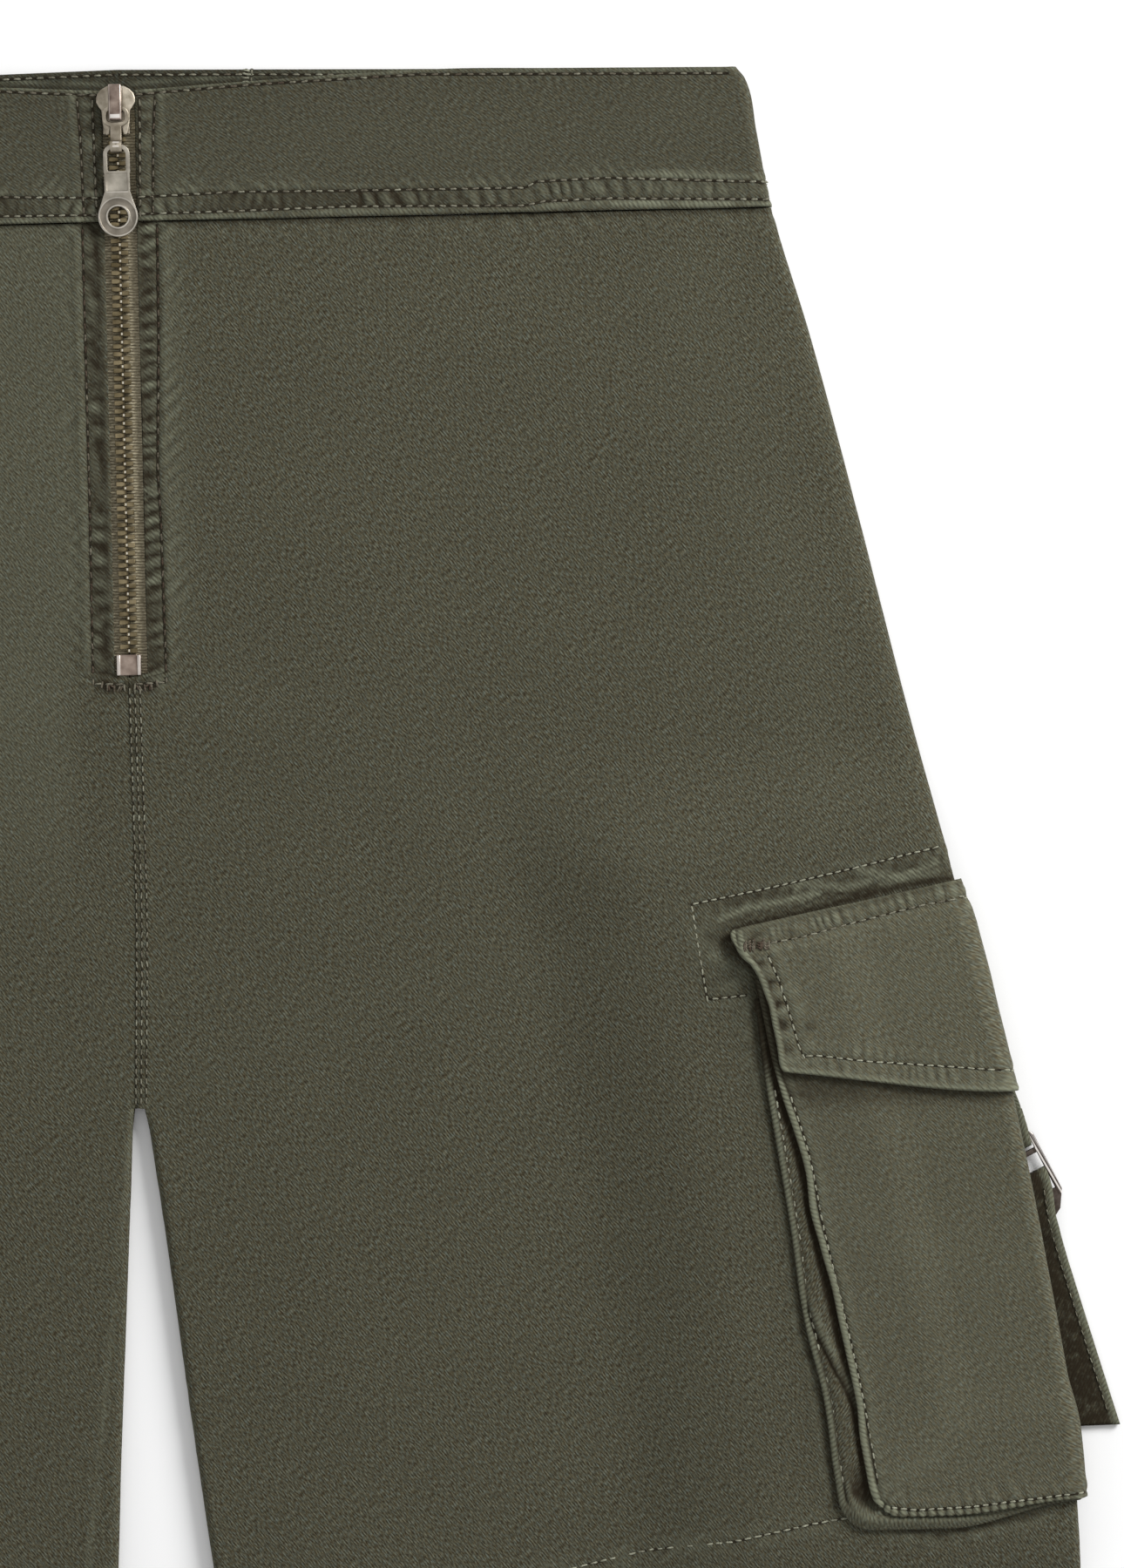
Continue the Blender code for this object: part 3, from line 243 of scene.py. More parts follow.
# what a line of sewing does to the cloth beside it, in millimetres to its left: rise, wear and
# dirt have rows of offset, width and size, and pucker of offset, width, size, pitch, slant,
# pale and dark; wear is rubbing plus painted highlight on ridges, dirt is mostly painted shade
# in stitch trenches, creases and beside raised edges, and pale and dark paint each pucker's
# crest as a painted highlight and its hollow as painted shade
seams = {
    "centre": dict(rise=[(0, 2.0, 0.16)], dirtAndShade=[(0, 2.2, 0.10)],
                   pucker=[(0.0, 1.8, 0.08, 3.0, 0.5, 0.12, 0.16)]),
    "fly": dict(rise=[(2.0, 1.3, 0.30), (0, 0.7, -0.25), (-5.2, 0.8, 0.25)],
                wearAndHighlight=[(1.6, 0.9, 0.16), (-5.2, 0.5, 0.10)],
                dirtAndShade=[(-2.8, 2.2, 0.62), (0.0, 0.6, 0.50), (-4.7, 0.8, 0.45)],
                pucker=[(-2.4, 2.3, 0.50, 4.6, 0.25, 0.62, 1.05),
                        (-2.6, 2.2, 0.22, 2.7, -0.3, 0.26, 0.50),
                        (3.6, 3.6, 0.24, 4.8, 0.9, 0.24, 0.36)]),
    "centreBack": dict(wearAndHighlight=[(0, 1.0, 0.22)], dirtAndShade=[(2.5, 0.6, 0.30)],
                       pucker=[(0.6, 3.4, 0.14, 4.1, 0.5, 0.16, 0.16)]),
    "backLap": dict(rise=[(-1.0, 2.2, 0.5)]),
    # painted shadow just below the band's lower edge
    "waist": dict(rise=[(-2.2, 1.6, -0.20)], dirtAndShade=[(-0.8, 1.0, 0.40)],
                  pucker=[(-3.0, 4.5, 0.12, 6.0, 0.6, 0.10, 0.16)]),
    "facing": dict(rise=[(0, 0.9, -0.18), (2.2, 1.4, 0.10), (-2.4, 1.5, 0.10)],
                   wearAndHighlight=[(1.5, 1.0, 0.12)], dirtAndShade=[(0, 0.7, 0.20), (-2.0, 1.4, 0.08)],
                   pucker=[(-2.4, 2.8, 0.12, 3.6, 0.2, 0.16, 0.16)]),
    # painted shadow above the flap's raised upper edge, and a darker strip above it
    "flapTop": dict(rise=[(1.6, 0.8, -0.12)],
                    dirtAndShade=[(0.3, 0.9, 0.95), (2.6, 2.6, 0.30), (6.5, 4.0, 0.14)],
                    pucker=[(3.2, 2.6, 0.15, 3.4, 1.0, 0.34, 0.36),
                            (7.2, 3.2, 0.14, 4.6, -0.9, 0.26, 0.26)]),
    # painted shadow beside the flap's edge, and a painted lighter strip further out against the
    # shade cast there
    "besideFlap": dict(rise=[(5, 2, 0.14)], wearAndHighlight=[(7.5, 3.6, 0.13)], dirtAndShade=[(0.8, 1.3, 0.85)],
                       pucker=[(6, 4, 0.12, 7.0, 0.6, 0.12, 0.14)]),
    # painted shadow along the outer edge of the bellows
    "besidePocket": dict(rise=[(-3.0, 1.6, 0.14)], wearAndHighlight=[(-2.6, 1.0, 0.14)],
                         dirtAndShade=[(-0.8, 0.9, 0.60)],
                         pucker=[(-2.6, 2.6, 0.08, 6.4, 0.3, 0.10, 0.12)]),
    "hem": dict(rise=[(0, 0.9, -0.24), (2.2, 1.4, 0.16), (-2.2, 1.4, 0.16)],
                wearAndHighlight=[(1.6, 0.9, 0.14), (-1.6, 0.9, 0.14)], dirtAndShade=[(0, 0.7, 0.25)],
                pucker=[(0, 4.4, 0.18, 4.6, 0.7, 0.14, 0.14)]),
    "hemEdge": dict(rise=[(1.0, 1.6, 0.18)], wearAndHighlight=[(0.6, 1.1, 0.45)],
                    pucker=[(4, 8, 0.16, 9.0, 0.5, 0.08, 0.08)]),
    "inseam": dict(wearAndHighlight=[(0.4, 0.9, 0.20)], pucker=[(3, 5, 0.10, 8.0, 0.4, 0.05, 0.05)]),
    "bandFoot": dict(rise=[(-1.6, 0.7, 0.26), (0, 0.6, -0.20)], wearAndHighlight=[(-1.5, 0.6, 0.42)],
                     dirtAndShade=[(0, 0.6, 0.35)]),
    "bandFootPale": dict(wearAndHighlight=[(-1.5, 0.8, 0.5)]),
    "bandUpper": dict(rise=[(0, 0.6, -0.20), (1.4, 0.8, 0.16)], wearAndHighlight=[(1.3, 0.6, 0.20)],
                      dirtAndShade=[(0, 0.6, 0.30)],
                      pucker=[(-2.6, 2.0, 0.28, 4.7, 0.35, 0.28, 0.75),
                              (-2.6, 2.0, 0.14, 2.9, -0.2, 0.16, 0.34)]),
    "bandUpperPale": dict(wearAndHighlight=[(1.4, 0.7, 0.35), (-2.6, 1.6, 0.16)]),
    "bandUpperFront": dict(pucker=[(2.9, 2.6, 0.30, 4.4, 1.1, 0.62, 0.34)]),
    "bandUpperSide": dict(pucker=[(2.4, 2.2, 0.14, 3.9, 0.9, 0.24, 0.20)]),
    "bandTop": dict(rise=[(0, 0.6, -0.18)], dirtAndShade=[(0, 0.5, 0.25), (-2, 1.2, 0.10)],
                    pucker=[(-1.5, 2.0, 0.08, 3.1, 0.2, 0.12, 0.14)]),
    "bandEdge": dict(wearAndHighlight=[(-0.3, 0.6, 0.40)], dirtAndShade=[(-1.6, 0.5, 0.16)]),
    "flyBand": dict(rise=[(0, 0.6, -0.24), (2.0, 1.0, 0.22), (-2.2, 1.2, 0.20)],
                    wearAndHighlight=[(1.9, 1.0, 0.22)], dirtAndShade=[(0, 0.8, 0.45), (-4.2, 0.8, 0.45)],
                    pucker=[(2.4, 3.2, 0.14, 4.4, 0.5, 0.14, 0.16),
                            (-2.6, 1.6, 0.22, 4.2, 0.2, 0.30, 0.36)]),
    "beads": dict(rise=[(1.6, 0.5, -0.22), (3.4, 1.4, 0.16)], wearAndHighlight=[(0.5, 0.6, 0.20)],
                  dirtAndShade=[(1.5, 0.45, 0.42), (-0.5, 0.4, 0.5)],
                  pucker=[(4.2, 3.4, 0.14, 4.0, 0.3, 0.14, 0.14)]),
    "flapStitch": dict(rise=[(0, 0.7, -0.30), (3.0, 1.6, 0.26), (-2.6, 1.6, 0.14)],
                       wearAndHighlight=[(3.0, 1.2, 0.10), (-2.0, 1.1, 0.10)], dirtAndShade=[(0, 0.65, 0.40)],
                       pucker=[(2.6, 2.0, 0.24, 3.0, 0.1, 0.50, 0.42),
                               (-2.6, 2.2, 0.10, 4.0, 0.3, 0.14, 0.12)]),
    "flapSide": dict(rise=[(0, 0.7, -0.26), (2.6, 1.4, 0.14)], wearAndHighlight=[(2.2, 1.0, 0.14)],
                     dirtAndShade=[(0, 0.6, 0.22), (-3.4, 1.1, 0.22)],
                     pucker=[(-2.8, 2.0, 0.08, 3.1, 0.1, 0.16, 0.14),
                             (2.8, 2.2, 0.09, 3.5, 0, 0.18, 0.06)]),
    "flapCord": dict(rise=[(0.1, 0.6, 0.42), (-1.1, 0.5, -0.20)], wearAndHighlight=[(0.1, 0.55, 1.0)],
                     dirtAndShade=[(-1.1, 0.45, 0.95), (1.1, 0.5, 0.45)]),
    "flapLow": dict(rise=[(0, 0.7, -0.26), (2.6, 1.5, 0.14)],
                    wearAndHighlight=[(2.0, 0.9, 0.16), (-3.0, 2.0, 0.10)], dirtAndShade=[(0, 0.6, 0.22)],
                    pucker=[(-2.6, 2.2, 0.18, 3.3, 0.2, 0.34, 0.36),
                            (2.2, 2.0, 0.12, 2.9, 0, 0.34, 0.20)]),
    # painted shade in the bellows' fold lines, painted highlight on the ridges beside them
    "bellowsNip": dict(rise=[(0, 0.5, -0.45), (1.3, 0.9, 0.40), (-1.0, 0.6, 0.25)],
                       wearAndHighlight=[(1.2, 0.7, 0.45), (-0.9, 0.4, 0.40)], dirtAndShade=[(0, 0.5, 0.95)]),
    "bellowsFold": dict(rise=[(0, 0.8, -0.62), (1.5, 1.0, 0.50)], wearAndHighlight=[(1.6, 0.9, 0.40)],
                        dirtAndShade=[(0, 0.8, 1.0)]),
}


def nearLine(points, x, y):  # distance to the left of a line and along it, in millimetres
    line = np.array(points, float)
    x, y = np.asarray(x) * 1000, np.asarray(y) * 1000
    best, sign, run = np.full(np.shape(x), 1e3), np.ones(np.shape(x)), np.zeros(np.shape(x))
    before = 0.0
    for a, b in zip(line, line[1:]):
        d = b - a
        size = math.hypot(*d)
        t = np.clip(((x - a[0]) * d[0] + (y - a[1]) * d[1]) / size ** 2, 0, 1)
        dx, dy = x - a[0] - t * d[0], y - a[1] - t * d[1]
        far = np.hypot(dx, dy)
        closer = far < best
        best = np.where(closer, far, best)
        sign = np.where(closer, np.where(d[0] * dy - d[1] * dx >= 0, 1.0, -1.0), sign)
        run = np.where(closer, before + t * size, run)
        before += size
    return best * sign, run


def bell(gap, offset, width):
    return np.exp(-((gap - offset) / width) ** 2)


class Relief:  # heights in millimetres, with pale wear and painted highlights, and dark dirt and painted shade, from 0 to 1
    def __init__(self, x, y):
        self.x, self.y = np.asarray(x, float), np.asarray(y, float)
        self.rise = np.zeros(self.x.shape)
        self.wearAndHighlight = np.zeros(self.x.shape)
        self.dirtAndShade = np.zeros(self.x.shape)

    def line(self, name, look=None, within=1.0):
        look = seams[look or name]
        gap, run = nearLine(sewing[name], self.x, self.y)
        for offset, width, size in look.get("rise", ()):
            self.rise += size * bell(gap, offset, width) * within
        uneven = 0.72 + 0.5 * softNoise(run, 7.0, 7.0, len(name))
        uneven = uneven + 0.3 * softNoise(run, gap, 1.6, 8)
        for offset, width, size in look.get("wearAndHighlight", ()):
            self.wearAndHighlight += size * bell(gap, offset, width) * within * uneven
        for offset, width, size in look.get("dirtAndShade", ()):
            self.dirtAndShade += size * bell(gap, offset, width) * within
        for offset, width, size, pitch, slant, pale, dark in look.get("pucker", ()):
            seed = len(name) * 7 + int(pitch * 10)
            phase = 2 * math.pi * (run + slant * gap) / pitch
            phase = phase + 3.6 * softNoise(run, gap * 0.4, pitch * 2.1, seed)
            strength = np.clip(0.62 + 0.95 * softNoise(run, 3.0 + gap * 0.5, pitch * 1.7,
                                                       seed + 1), 0, 1.4)
            wave = np.sin(phase) * strength * bell(gap, offset, width) * within
            self.rise += size * wave
            # each pucker's crest is painted paler and its hollow darker: a painted highlight and
            # painted shade, with some wear on the crests
            self.wearAndHighlight += pale * np.maximum(wave, 0)
            self.dirtAndShade += dark * np.maximum(-wave, 0)

    def crease(self, table):
        for points, width, size, wearAndHighlight, dirtAndShade in table:
            gap, run = nearLine(points, self.x, self.y)
            uneven = 0.7 + 0.4 * softNoise(run, 1.0, 22, 5)
            self.rise += size * bell(gap, 0, width) * uneven
            # a painted highlight along raised folds and painted shade along sunken ones
            self.wearAndHighlight += wearAndHighlight * bell(gap, 0, width)
            self.dirtAndShade += dirtAndShade * bell(gap, 0, width)

    def near(self, x, y, reachX, reachY):
        return bell(self.x * 1000, x, reachX) * bell(self.y * 1000, y, reachY)

    def spot(self, table):
        for x, y, reachX, reachY, rise, wearAndHighlight, dirtAndShade in table:
            share = self.near(x, y, reachX, reachY)
            self.rise += rise * share
            self.wearAndHighlight += wearAndHighlight * share
            self.dirtAndShade += dirtAndShade * share

    def crumple(self, near, grains, seed, size, wearAndHighlight, dirtAndShade):  # wrinkled all ways in one place, with a painted highlight on the raised wrinkles and another noise darker
        raised, sunk = [softNoise(self.x, self.y, g, seed + i) for i, g in enumerate(grains)]
        self.rise += size * near * raised
        self.wearAndHighlight += wearAndHighlight * near * np.maximum(0, raised)
        self.dirtAndShade += dirtAndShade * near * np.maximum(0, sunk)


def covered(x, height):  # 1 where the pocket lies on the leg
    edge = np.where(height > 0.040, 0.1700, readRow(pocketRows, 2, height) - 0.0006)
    inside = ramp(x - edge, 0.0, 0.0016)
    return inside * ramp(height, 0.0628, 0.0600) * ramp(height, -0.1275, -0.1248)


# soft folds: points, width, rise, wear and dirt, where the wear is a painted highlight along
# raised folds and the dirt painted shade in some sunken ones
folds = {
    "front": [([(6, 6), (40, 22), (92, 34), (138, 38)], 9, 0.22, 0.02, 0),
              ([(10, -8), (48, -20), (92, -26)], 8, -0.20, 0, 0),
              ([(30, 118), (70, 96), (120, 74), (152, 66)], 12, 0.18, 0.02, 0),
              ([(60, 236), (78, 196), (84, 150)], 14, 0.16, 0, 0),
              ([(118, 244), (128, 206), (146, 168)], 13, -0.16, 0, 0),
              ([(126, -60), (129, -96), (132, -134)], 8, -0.34, 0, 0),
              ([(146, -40), (152, -84), (160, -128)], 11, 0.26, 0.03, 0),
              ([(58, -62), (62, -110), (70, -164)], 12, 0.24, 0, 0),
              ([(160, 230), (176, 180), (190, 130), (196, 88)], 14, 0.26, 0.03, 0)],
    "aboveFlap": [([(168, 50.6), (176, 53.8), (186, 55.2), (196, 57.4)], 0.8, 0.368, 0.609, 0),
                  ([(170, 54.5), (178, 57.2), (188, 58)], 0.8, -0.299, 0, 0.45),
                  ([(188, 60.2), (196, 60.0), (203, 58.6), (211, 60.6)], 0.8, 0.345, 0.522, 0),
                  ([(198, 57.0), (206, 56.8), (214, 59.4)], 0.7, -0.299, 0, 0.45),
                  ([(206, 64.4), (212, 62.2), (220, 61.6), (230, 65.4)], 0.8, 0.368, 0.551, 0),
                  ([(218, 64.2), (226, 64.0), (233, 67)], 0.7, -0.299, 0, 0.45),
                  ([(214, 59.8), (222, 61.2), (230, 62.6)], 0.7, 0.322, 0.435, 0),
                  ([(165, 40), (170, 37), (176, 34.5)], 1.2, 0.299, 0.290, 0),
                  ([(164, 46), (168, 43.4), (172, 40)], 1.1, -0.276, 0, 0.45),
                  ([(168, 30.5), (173, 33), (178, 32)], 1.0, 0.230, 0.203, 0)],
    "back": [([(8, 10), (46, 30), (96, 38), (140, 34)], 9, 0.36, 0.03, 0),
             ([(10, -10), (50, -26), (100, -34)], 9, -0.30, 0, 0),
             ([(24, 150), (70, 120), (130, 100)], 11, 0.34, 0.03, 0),
             ([(70, 240), (86, 190), (96, 140)], 11, -0.30, 0, 0),
             ([(60, -60), (64, -110), (76, -160)], 10, 0.30, 0.03, 0),
             ([(130, -50), (136, -96), (142, -140)], 9, -0.30, 0, 0)],
    "band": [([(8, 268), (60, 276), (120, 272), (180, 280)], 8, 0.14, 0.02, 0),
             ([(30, 284), (90, 286), (150, 284)], 5, -0.10, 0, 0)],
    "face": [([(196, -30), (214, -44), (244, -50)], 9, 0.20, 0.03, 0),
             ([(206, -78), (226, -70), (256, -76)], 9, -0.18, 0, 0),
             ([(214, -108), (232, -96), (240, -66)], 8, 0.18, 0.03, 0),
             ([(196, -8), (222, -16), (250, -12)], 7, -0.14, 0, 0),
             ([(209, -115), (218, -108), (226, -104)], 2.2, 0.20, 0.10, 0),
             ([(213, -118), (224, -114), (236, -113)], 1.8, -0.16, 0, 0)],
    "flap": [([(196, 40), (216, 30), (246, 36)], 7, 0.14, 0.03, 0),
             ([(200, 22), (222, 20), (250, 24)], 6, -0.12, 0, 0)],
}
# hollows and highlights in the flap's hem: across, up, their reaches, rise, wear and dirt, where
# the wear is the highlights' painted light and the dirt the hollows' painted shade
flapSpots = [
    (181.8, 32.5, 1.5, 1.2, -0.26, 0, 0.85), (183.8, 26.3, 1.4, 1.2, -0.26, 0, 0.85),
    (185.0, 20.2, 1.5, 1.4, -0.30, 0, 0.95), (191.8, 19.3, 1.8, 1.5, -0.16, 0, 0.60),
    (178.6, 37.6, 1.3, 1.0, -0.20, 0, 0.60), (186.4, 12.9, 1.4, 1.0, -0.16, 0, 0.45),
    (180.6, 35.2, 2.2, 0.9, 0.22, 0.30, 0), (184.6, 29.4, 2.8, 1.0, 0.24, 0.34, 0),
    (184.6, 23.3, 2.0, 1.0, 0.24, 0.36, 0), (185.2, 16.8, 2.2, 1.0, 0.24, 0.36, 0),
    (189.3, 24.6, 2.0, 1.2, 0.14, 0.20, 0), (186.2, 9.9, 1.8, 1.6, 0.20, 0.36, 0),
    (176.0, 41.0, 1.6, 0.8, 0.22, 0.30, 0), (178.2, 45.6, 2.4, 0.8, -0.22, 0, 0.50),
    (186.8, 46.2, 2.6, 0.9, -0.16, 0, 0.50), (195.4, 48.6, 2.4, 0.9, -0.14, 0, 0.45),
    (177.4, 42.9, 3.6, 1.2, 0.25, 0, 0.85)]  # the last lies under the bar tack


def panelRelief(side, face, x, height):
    relief = Relief(x, height)
    free = 1 - covered(relief.x, relief.y)
    onHip = ramp(relief.y, 0.116, 0.124)
    if face > 0:
        if side > 0:
            relief.line("centre")
        else:  # lower under the lap, and paler beside the zip
            lapped = ramp(relief.x + lapEdge(relief.y), 0.0003, -0.0001)
            relief.rise -= 0.12 * lapped * ramp(relief.y, 0.122, 0.120)
            relief.wearAndHighlight += 0.12 * ramp(relief.x, 0.012, 0.022) * ramp(relief.y, 0.04, 0.10)
        relief.line("flyLeft" if side > 0 else "flyRight", "fly", within=onHip)
        # rubbed and dirty round the zip's foot
        low = bell(relief.y * 1000, 120.6, 1.7) * ramp(relief.x, 0.0085, 0.0060)
        low = low * np.clip(0.75 + 0.7 * softNoise(relief.x, relief.y, 0.0011, 71), 0, 1.3)
        relief.dirtAndShade += 0.85 * low
        relief.rise += 0.16 * low * softNoise(relief.x, relief.y, 0.0013, 72)
        relief.wearAndHighlight += 0.10 * bell(relief.x * 1000, 14.5, 4.0) * ramp(relief.y, 0.13, 0.145)
    else:
        relief.line("centreBack")
        relief.line("centreBack", "backLap", within=1.0 if side > 0 else 0.3)
    relief.line("waist")
    relief.line("facing", within=float(face > 0))
    for name in ("flapTop", "besideFlap", "besidePocket", "hem", "hemEdge", "inseam"):
        relief.line(name)
    if face > 0:
        relief.crease(folds["front"])
        relief.crease(folds["aboveFlap"])
    else:
        relief.crease(folds["back"])
    rough = 0.05 * softNoise(relief.x, relief.y, 0.018, 11)
    rough = rough + 0.025 * softNoise(relief.x, relief.y, 0.007, 12)
    relief.rise = (relief.rise + rough) * free
    return relief


def bandRelief(side, face, x, height):  # alike on both sides
    relief = Relief(x, height)
    shade = 0.46 * ramp(relief.x, 0.018, 0.034) * ramp(relief.x, 0.104, 0.084)
    pale = ramp(relief.x, 0.122, 0.138) * ramp(relief.x, 0.190, 0.178)
    between = ramp(relief.y, 0.2566, 0.2576) * ramp(relief.y, 0.2632, 0.2618)
    early = ramp(relief.x, 0.060, 0.045) * ramp(relief.x, 0.010, 0.018)
    relief.line("bandFoot")
    relief.line("bandFoot", "bandFootPale", within=pale)
    relief.line("bandUpper")
    relief.line("bandUpper", "bandUpperPale", within=pale)
    relief.line("bandUpper", "bandUpperFront", within=early)
    relief.line("bandUpper", "bandUpperSide", within=1 - early)
    relief.line("bandTop")
    relief.line("bandEdge")
    if face > 0:
        relief.line("flyBand")
    relief.dirtAndShade += shade * between * (0.9 + 0.5 * softNoise(relief.x, relief.y, 0.003, 21))
    relief.crease(folds["band"])
    relief.rise += 0.05 * softNoise(relief.x, relief.y, 0.014, 22)
    if face < 0:
        relief.dirtAndShade *= 0.7
    return relief


def faceRelief(x, height, edgeGap, footGap):  # gaps to the piece's own rim
    relief = Relief(x, height)
    gap, foot = np.asarray(edgeGap) * 1000, np.asarray(footGap) * 1000
    under = ramp(relief.y, 0.006, -0.001)
    relief.rise += 0.42 * bell(gap, 0.8, 0.62) - 0.20 * bell(gap, 2.1, 0.6)
    relief.rise += 0.14 * bell(gap, 4.0, 1.4)
    relief.wearAndHighlight += 1.0 * bell(gap, 0.75, 0.55) + 0.12 * bell(gap, 3.6, 1.2)
    # painted shade in the valley behind the rolled edge and along the rim
    relief.dirtAndShade += 0.55 * bell(gap, 1.75, 0.45) + 0.8 * bell(gap, 0.0, 0.22)
    wave = np.sin(foot * 2 * math.pi / 4.2 + 2 * softNoise(foot, 0, 9, 31))
    wave = wave * (0.7 + 0.5 * softNoise(foot, 5, 13, 35))
    relief.rise += 0.12 * wave * bell(gap, 4.0, 2.8)
    # painted highlight on the wave's crests, painted shade in its hollows
    relief.wearAndHighlight += 0.14 * np.maximum(wave, 0) * bell(gap, 3.6, 2.0)
    relief.dirtAndShade += 0.16 * np.maximum(-wave, 0) * bell(gap, 3.2, 2.2)
    relief.line("beads")
    off, run = nearLine(sewing["beads"], relief.x, relief.y)
    bead = np.sin(run * 2 * math.pi / 2.6 + 0.9 * softNoise(run, 0.0, 6.0, 34))
    strong = (0.8 + 0.35 * softNoise(run, 2.0, 5.0, 40)) * bell(off, 0.5, 0.9)
    relief.rise += 0.42 * bead * strong
    # each bead painted pale on top and dark between: painted highlight and painted shade
    relief.wearAndHighlight += 1.0 * np.maximum(bead, 0) * strong
    relief.dirtAndShade += 1.0 * np.maximum(-bead, 0) * strong
    corner = relief.near(208.2, -115.5, 3.4, 3.6)
    relief.crumple(corner, (0.0019, 0.0021), 43, size=0.36, wearAndHighlight=0.7, dirtAndShade=1.0)
    relief.crease(folds["face"])
    # under the flap: fewer pale marks, and painted shadow
    relief.wearAndHighlight *= 1 - 0.8 * ramp(relief.y, 0.003, 0.010)
    relief.dirtAndShade += 0.55 * ramp(relief.y, -0.0065, 0.0005) + 0.5 * ramp(relief.y, 0.004, 0.012)
    relief.rise += 0.05 * softNoise(relief.x, relief.y, 0.013, 32)
    relief.rise *= under
    return relief


# the flap's rolled upper edge, across and up in millimetres
flapCrown = [(170.6, 46.6), (172.7, 47.5), (197.1, 53.0), (220.2, 58.5), (242, 61.6)]


def flapRelief(x, height, edgeGap, footGap):
    relief = Relief(x, height)
    gap, foot = np.asarray(edgeGap) * 1000, np.asarray(footGap) * 1000
    crown = np.interp(relief.x * 1000, *zip(*flapCrown)) - relief.y * 1000
    relief.line("flapStitch")
    inner = ramp(relief.y, 0.047, 0.040)
    relief.line("flapSide", within=inner)
    relief.spot(flapSpots)
    relief.line("flapCord")
    relief.line("flapLow")
    relief.rise += 0.34 * bell(gap, 0.8, 0.7) + 0.30 * bell(foot, 0.8, 0.7)
    relief.wearAndHighlight += 0.95 * bell(gap, 0.6, 0.55) + 0.80 * bell(foot, 0.5, 0.6)
    corner = relief.near(174.5, 43.5, 3.2, 3.4)
    relief.crumple(corner, (0.0021, 0.0021), 38, size=0.30, wearAndHighlight=0.6, dirtAndShade=0.8)
    relief.wearAndHighlight += 0.30 * bell(crown, 0.6, 0.6)
    relief.rise += 0.40 * bell(crown, 0.9, 0.8) - 0.16 * bell(crown, 2.2, 0.7)
    relief.wearAndHighlight += 0.22 * ramp(relief.x, 0.232, 0.250) * bell(foot, 2.0, 3.0)
    relief.dirtAndShade += 0.30 * bell(gap, 1.9, 0.6)
    relief.crease(folds["flap"])
    relief.rise += 0.05 * softNoise(relief.x, relief.y, 0.011, 33)
    return relief


print("measures ready")


# finishes
cloths = {
    "weaveAngle": math.radians(-52),  # the twill line falls to the right
    "weavePitch": 0.00074,
    "fleckSize": (0.00125, 0.00038),
    "hueSize": (0.0012, 0.0009),
    "cloudSize": (0.034, 0.034),
    "patchSize": (0.0022, 0.0010),
    "rumpleSize": (0.0055, 0.0042),
    "wearAndHighlightSize": (0.0014, 0.0005),
    "dirtAndShadeSize": (0.0020, 0.0012),
    "brown": (0.0345, 0.0270, 0.0145, 1),
    "olive": (0.067, 0.0635, 0.0405, 1),
    "slate": (0.113, 0.119, 0.090, 1),
    "middle": (0.0715, 0.0695, 0.0475, 1),
    "warm": (1.075, 1.0, 0.900, 1),
    "cool": (0.930, 1.0, 1.090, 1),
    # pale tint for wear and painted highlights, dark tint for dirt and painted shade
    "wearAndHighlightTint": (0.160, 0.167, 0.116, 1),
    "dirtAndShadeTint": (0.0195, 0.0145, 0.0075, 1),
    "cordPitch": 0.0011,
    "cordAngle": math.radians(-34),
    "sheen": 0.02,
    "roughness": 0.82,
}
threads = {  # tints run from the dark specks to the pale ones
    "strandSize": (0.0006, 0.0006),
    "twistSize": (0.00025, 0.0007),
    "dark": [(0.30, (0.024, 0.0165, 0.0095, 1)), (0.72, (0.082, 0.056, 0.040, 1))],
    "pale": [(0.30, (0.160, 0.158, 0.115, 1)), (0.72, (0.375, 0.380, 0.290, 1))],
    # groove: painted shade for the trench under each row
    "grooveSize": (0.0009, 0.0009),
    "groove": [(0.3, (0.010, 0.008, 0.005, 1)), (0.7, (0.028, 0.023, 0.014, 1))],
}
tapes = {
    "ribPitch": 0.00085,
    "fleckSize": (0.0009, 0.0004),
    "cotton": [(0.32, (0.240, 0.205, 0.130, 1)), (0.68, (0.600, 0.540, 0.380, 1))],
    "between": [(0.1, (0.55, 0.52, 0.48, 1)), (0.7, (1, 1, 1, 1))],
}


def newFinish(name, roughness, specular=0.5):
    finish = bpy.data.materials.new(name)
    finish.use_nodes = True
    tree = finish.node_tree
    shader = tree.nodes["Principled BSDF"]
    shader.inputs["Roughness"].default_value = roughness
    shader.inputs["Specular IOR Level"].default_value = specular
    return finish, tree, shader


def ownPlace(tree):
    return tree.nodes.new("ShaderNodeTexCoord").outputs["Object"]


def maskNode(tree, name):
    mask = tree.nodes.new("ShaderNodeAttribute")
    mask.attribute_name = name
    return mask.outputs["Fac"]


def mathNode(tree, kind, a, b=0.0, plus=0.0, clamp=False):
    node = tree.nodes.new("ShaderNodeMath")
    node.operation = kind
    node.use_clamp = clamp
    for socket, value in zip(node.inputs, (a, b, plus)):
        if isinstance(value, (int, float)):
            socket.default_value = value
        else:
            tree.links.new(value, socket)
    return node.outputs[0]


def timesPlus(tree, value, times, plus, clamp=False):
    return mathNode(tree, "MULTIPLY_ADD", value, times, plus, clamp)


def mixNode(tree, factor, a, b, kind="MIX"):
    node = tree.nodes.new("ShaderNodeMix")
    node.data_type = "RGBA"
    node.blend_type = kind
    for socket, value in zip((node.inputs[0], node.inputs[6], node.inputs[7]), (factor, a, b)):
        if isinstance(value, (int, float, tuple)):
            socket.default_value = value
        else:
            tree.links.new(value, socket)
    return node.outputs[2]


